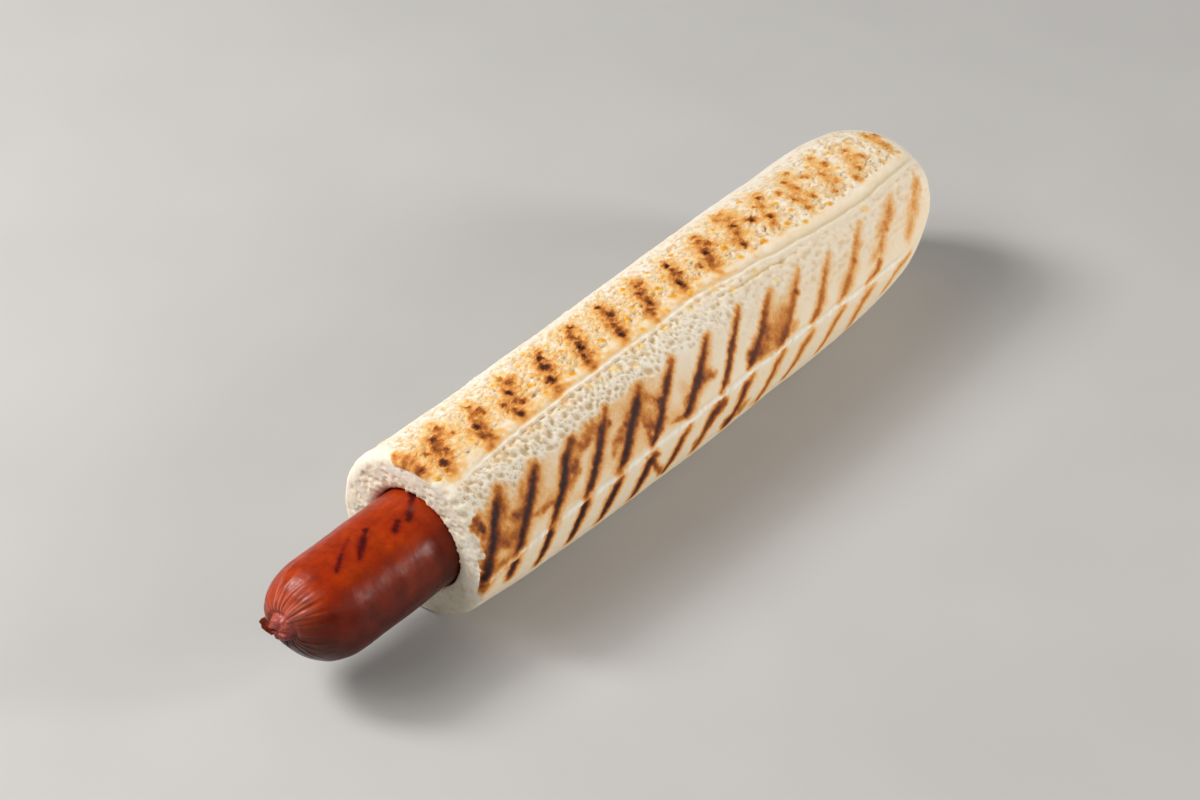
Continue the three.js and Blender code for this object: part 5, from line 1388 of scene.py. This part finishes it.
for i in range(FU - 1):
    for j in range(FV - 1):
        q = (ida[i, j], ida[i + 1, j], ida[i + 1, j + 1], ida[i, j + 1])
        ff.append(q); fu.append(uvq(q, 0.02))
        q = (idb[i, j + 1], idb[i + 1, j + 1], idb[i + 1, j], idb[i, j])
        ff.append(q); fu.append(uvq(q, 0.52))
ring = [(i, 0) for i in range(FU)] + [(FU - 1, j) for j in range(1, FV)] + [(i, FV - 1) for i in range(FU - 2, -1, -1)] + [(0, j) for j in range(FV - 2, 0, -1)]
for k in range(len(ring)):
    (i0, j0), (i1, j1) = ring[k], ring[(k + 1) % len(ring)]
    ff.append((ida[i1, j1], ida[i0, j0], idb[i0, j0], idb[i1, j1]))
    x0, x1 = 0.02 + k / len(ring) * 0.94, 0.02 + (k + 1) / len(ring) * 0.94
    fu.append([(x1, 0.60), (x0, 0.60), (x0, 0.66), (x1, 0.66)])
fm = Nodes("casing_leaf")
fa = fm.attr("edge")
fc = fm.mix(fm.span(fm.noise(0.9, 3), 0.35, 0.7), lin(140, 64, 34), lin(108, 44, 22))
fc = fm.mix(fm.math("MULTIPLY", fa, fm.span(fm.noise(0.5, 2), 0.3, 0.7, 0.15, 0.5)), fc, lin(150, 104, 66))
fm.put(fm.bsdf.inputs["Base Color"], fc)
fm.put(fm.bsdf.inputs["Roughness"], fm.span(fm.noise(0.6, 2), 0.3, 0.7, 0.34, 0.5))
fm.bsdf.inputs["Subsurface Weight"].default_value = 0.20
fm.bsdf.inputs["Subsurface Radius"].default_value = (1.0, 0.4, 0.2)
fm.bsdf.inputs["Subsurface Scale"].default_value = 0.0012
fm.put(fm.bsdf.inputs["Normal"], fm.bump(fm.noise(0.45, 3), 0.35, 0.15))
edge = np.concatenate([(wv ** 2 + 0 * uu).ravel()] * 2)
flap = build_mesh("casing_flap", fverts, ff, fu, dict(edge=edge), [fm.mat])

# ---------------------------------------------------------------------------
# Floor, light and world
# ---------------------------------------------------------------------------
fl = Nodes("floor_plain")
fl.put(fl.bsdf.inputs["Base Color"], fl.mix(fl.span(fl.noise(60, 2), 0.3, 0.7), lin(191, 190, 188), lin(195, 194, 192)))
fl.bsdf.inputs["Roughness"].default_value = 0.7
fl.bsdf.inputs["Specular IOR Level"].default_value = 0.25
fv = []
ring_n = 64
for rr in (0.0, 0.5, 1.5, 4.0):
    for k in range(ring_n if rr else 1):
        fv.append((rr * math.cos(2 * math.pi * k / ring_n), rr * math.sin(2 * math.pi * k / ring_n), -0.00002))
fft = [(0, 1 + k, 1 + (k + 1) % ring_n) for k in range(ring_n)]
for r_ in range(2):
    o0, o1 = 1 + r_ * ring_n, 1 + (r_ + 1) * ring_n
    fft += [(o0 + k, o1 + k, o1 + (k + 1) % ring_n, o0 + (k + 1) % ring_n) for k in range(ring_n)]
fme = bpy.data.meshes.new("floor")
fme.from_pydata(fv, [], fft)
fme.materials.append(fl.mat)
floor = bpy.data.objects.new("floor", fme)
scene.collection.objects.link(floor)


def area(name, at, to, w, hgt_, power, color=(1, 1, 1)):
    d = bpy.data.lights.new(name, "AREA")
    d.shape = "RECTANGLE"
    d.size, d.size_y = w, hgt_
    d.energy = power
    d.color = color
    o = bpy.data.objects.new(name, d)
    scene.collection.objects.link(o)
    o.location = at
    o.rotation_euler = (Vector(to) - Vector(at)).to_track_quat("-Z", "Y").to_euler()
    return o


area("key", (-0.50, 0.54, 0.84), (0.0, 0.0, 0.02), 0.5, 0.45, 5.1, (1.0, 0.985, 0.96))
area("side", (0.57, -0.84, 0.335), (-0.02, 0.0, 0.02), 0.22, 0.34, 5.6, (1.0, 0.97, 0.95))
area("fill", (-0.10, -1.00, 0.50), (-0.03, 0.0, 0.02), 1.0, 0.7, 1.6, (1.0, 0.97, 0.93))
area("tip", (-0.335, 0.60, 0.66), (-0.09, 0.0, 0.03), 0.22, 0.28, 4.8, (1.0, 0.985, 0.97))
area("left", (-0.74, 0.20, 0.80), (-0.08, 0.0, 0.03), 0.4, 0.4, 1.5, (1.0, 0.98, 0.96))
world = bpy.data.worlds.new("world")
world.use_nodes = True
bg = next(n for n in world.node_tree.nodes if n.type == "BACKGROUND")
bg.inputs["Color"].default_value = (1.0, 0.985, 0.96, 1)
bg.inputs["Strength"].default_value = 0.16
scene.world = world
scene.view_settings.view_transform = "Standard"

# ---------------------------------------------------------------------------
# Ties to the frame
# ---------------------------------------------------------------------------
for piece, node, slot in ((bun, "bun", "bun_crust"), (sausage, "sausage", "sausage_casing"), (flap, "sausage", "sausage_casing")):
    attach(piece, "root")
    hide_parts(node)
print("TRIS", {o.name: sum(len(p.vertices) - 2 for p in o.data.polygons) for o in (bun, sausage, flap)}, "pores", n_pore)
bpy.context.view_layer.update()
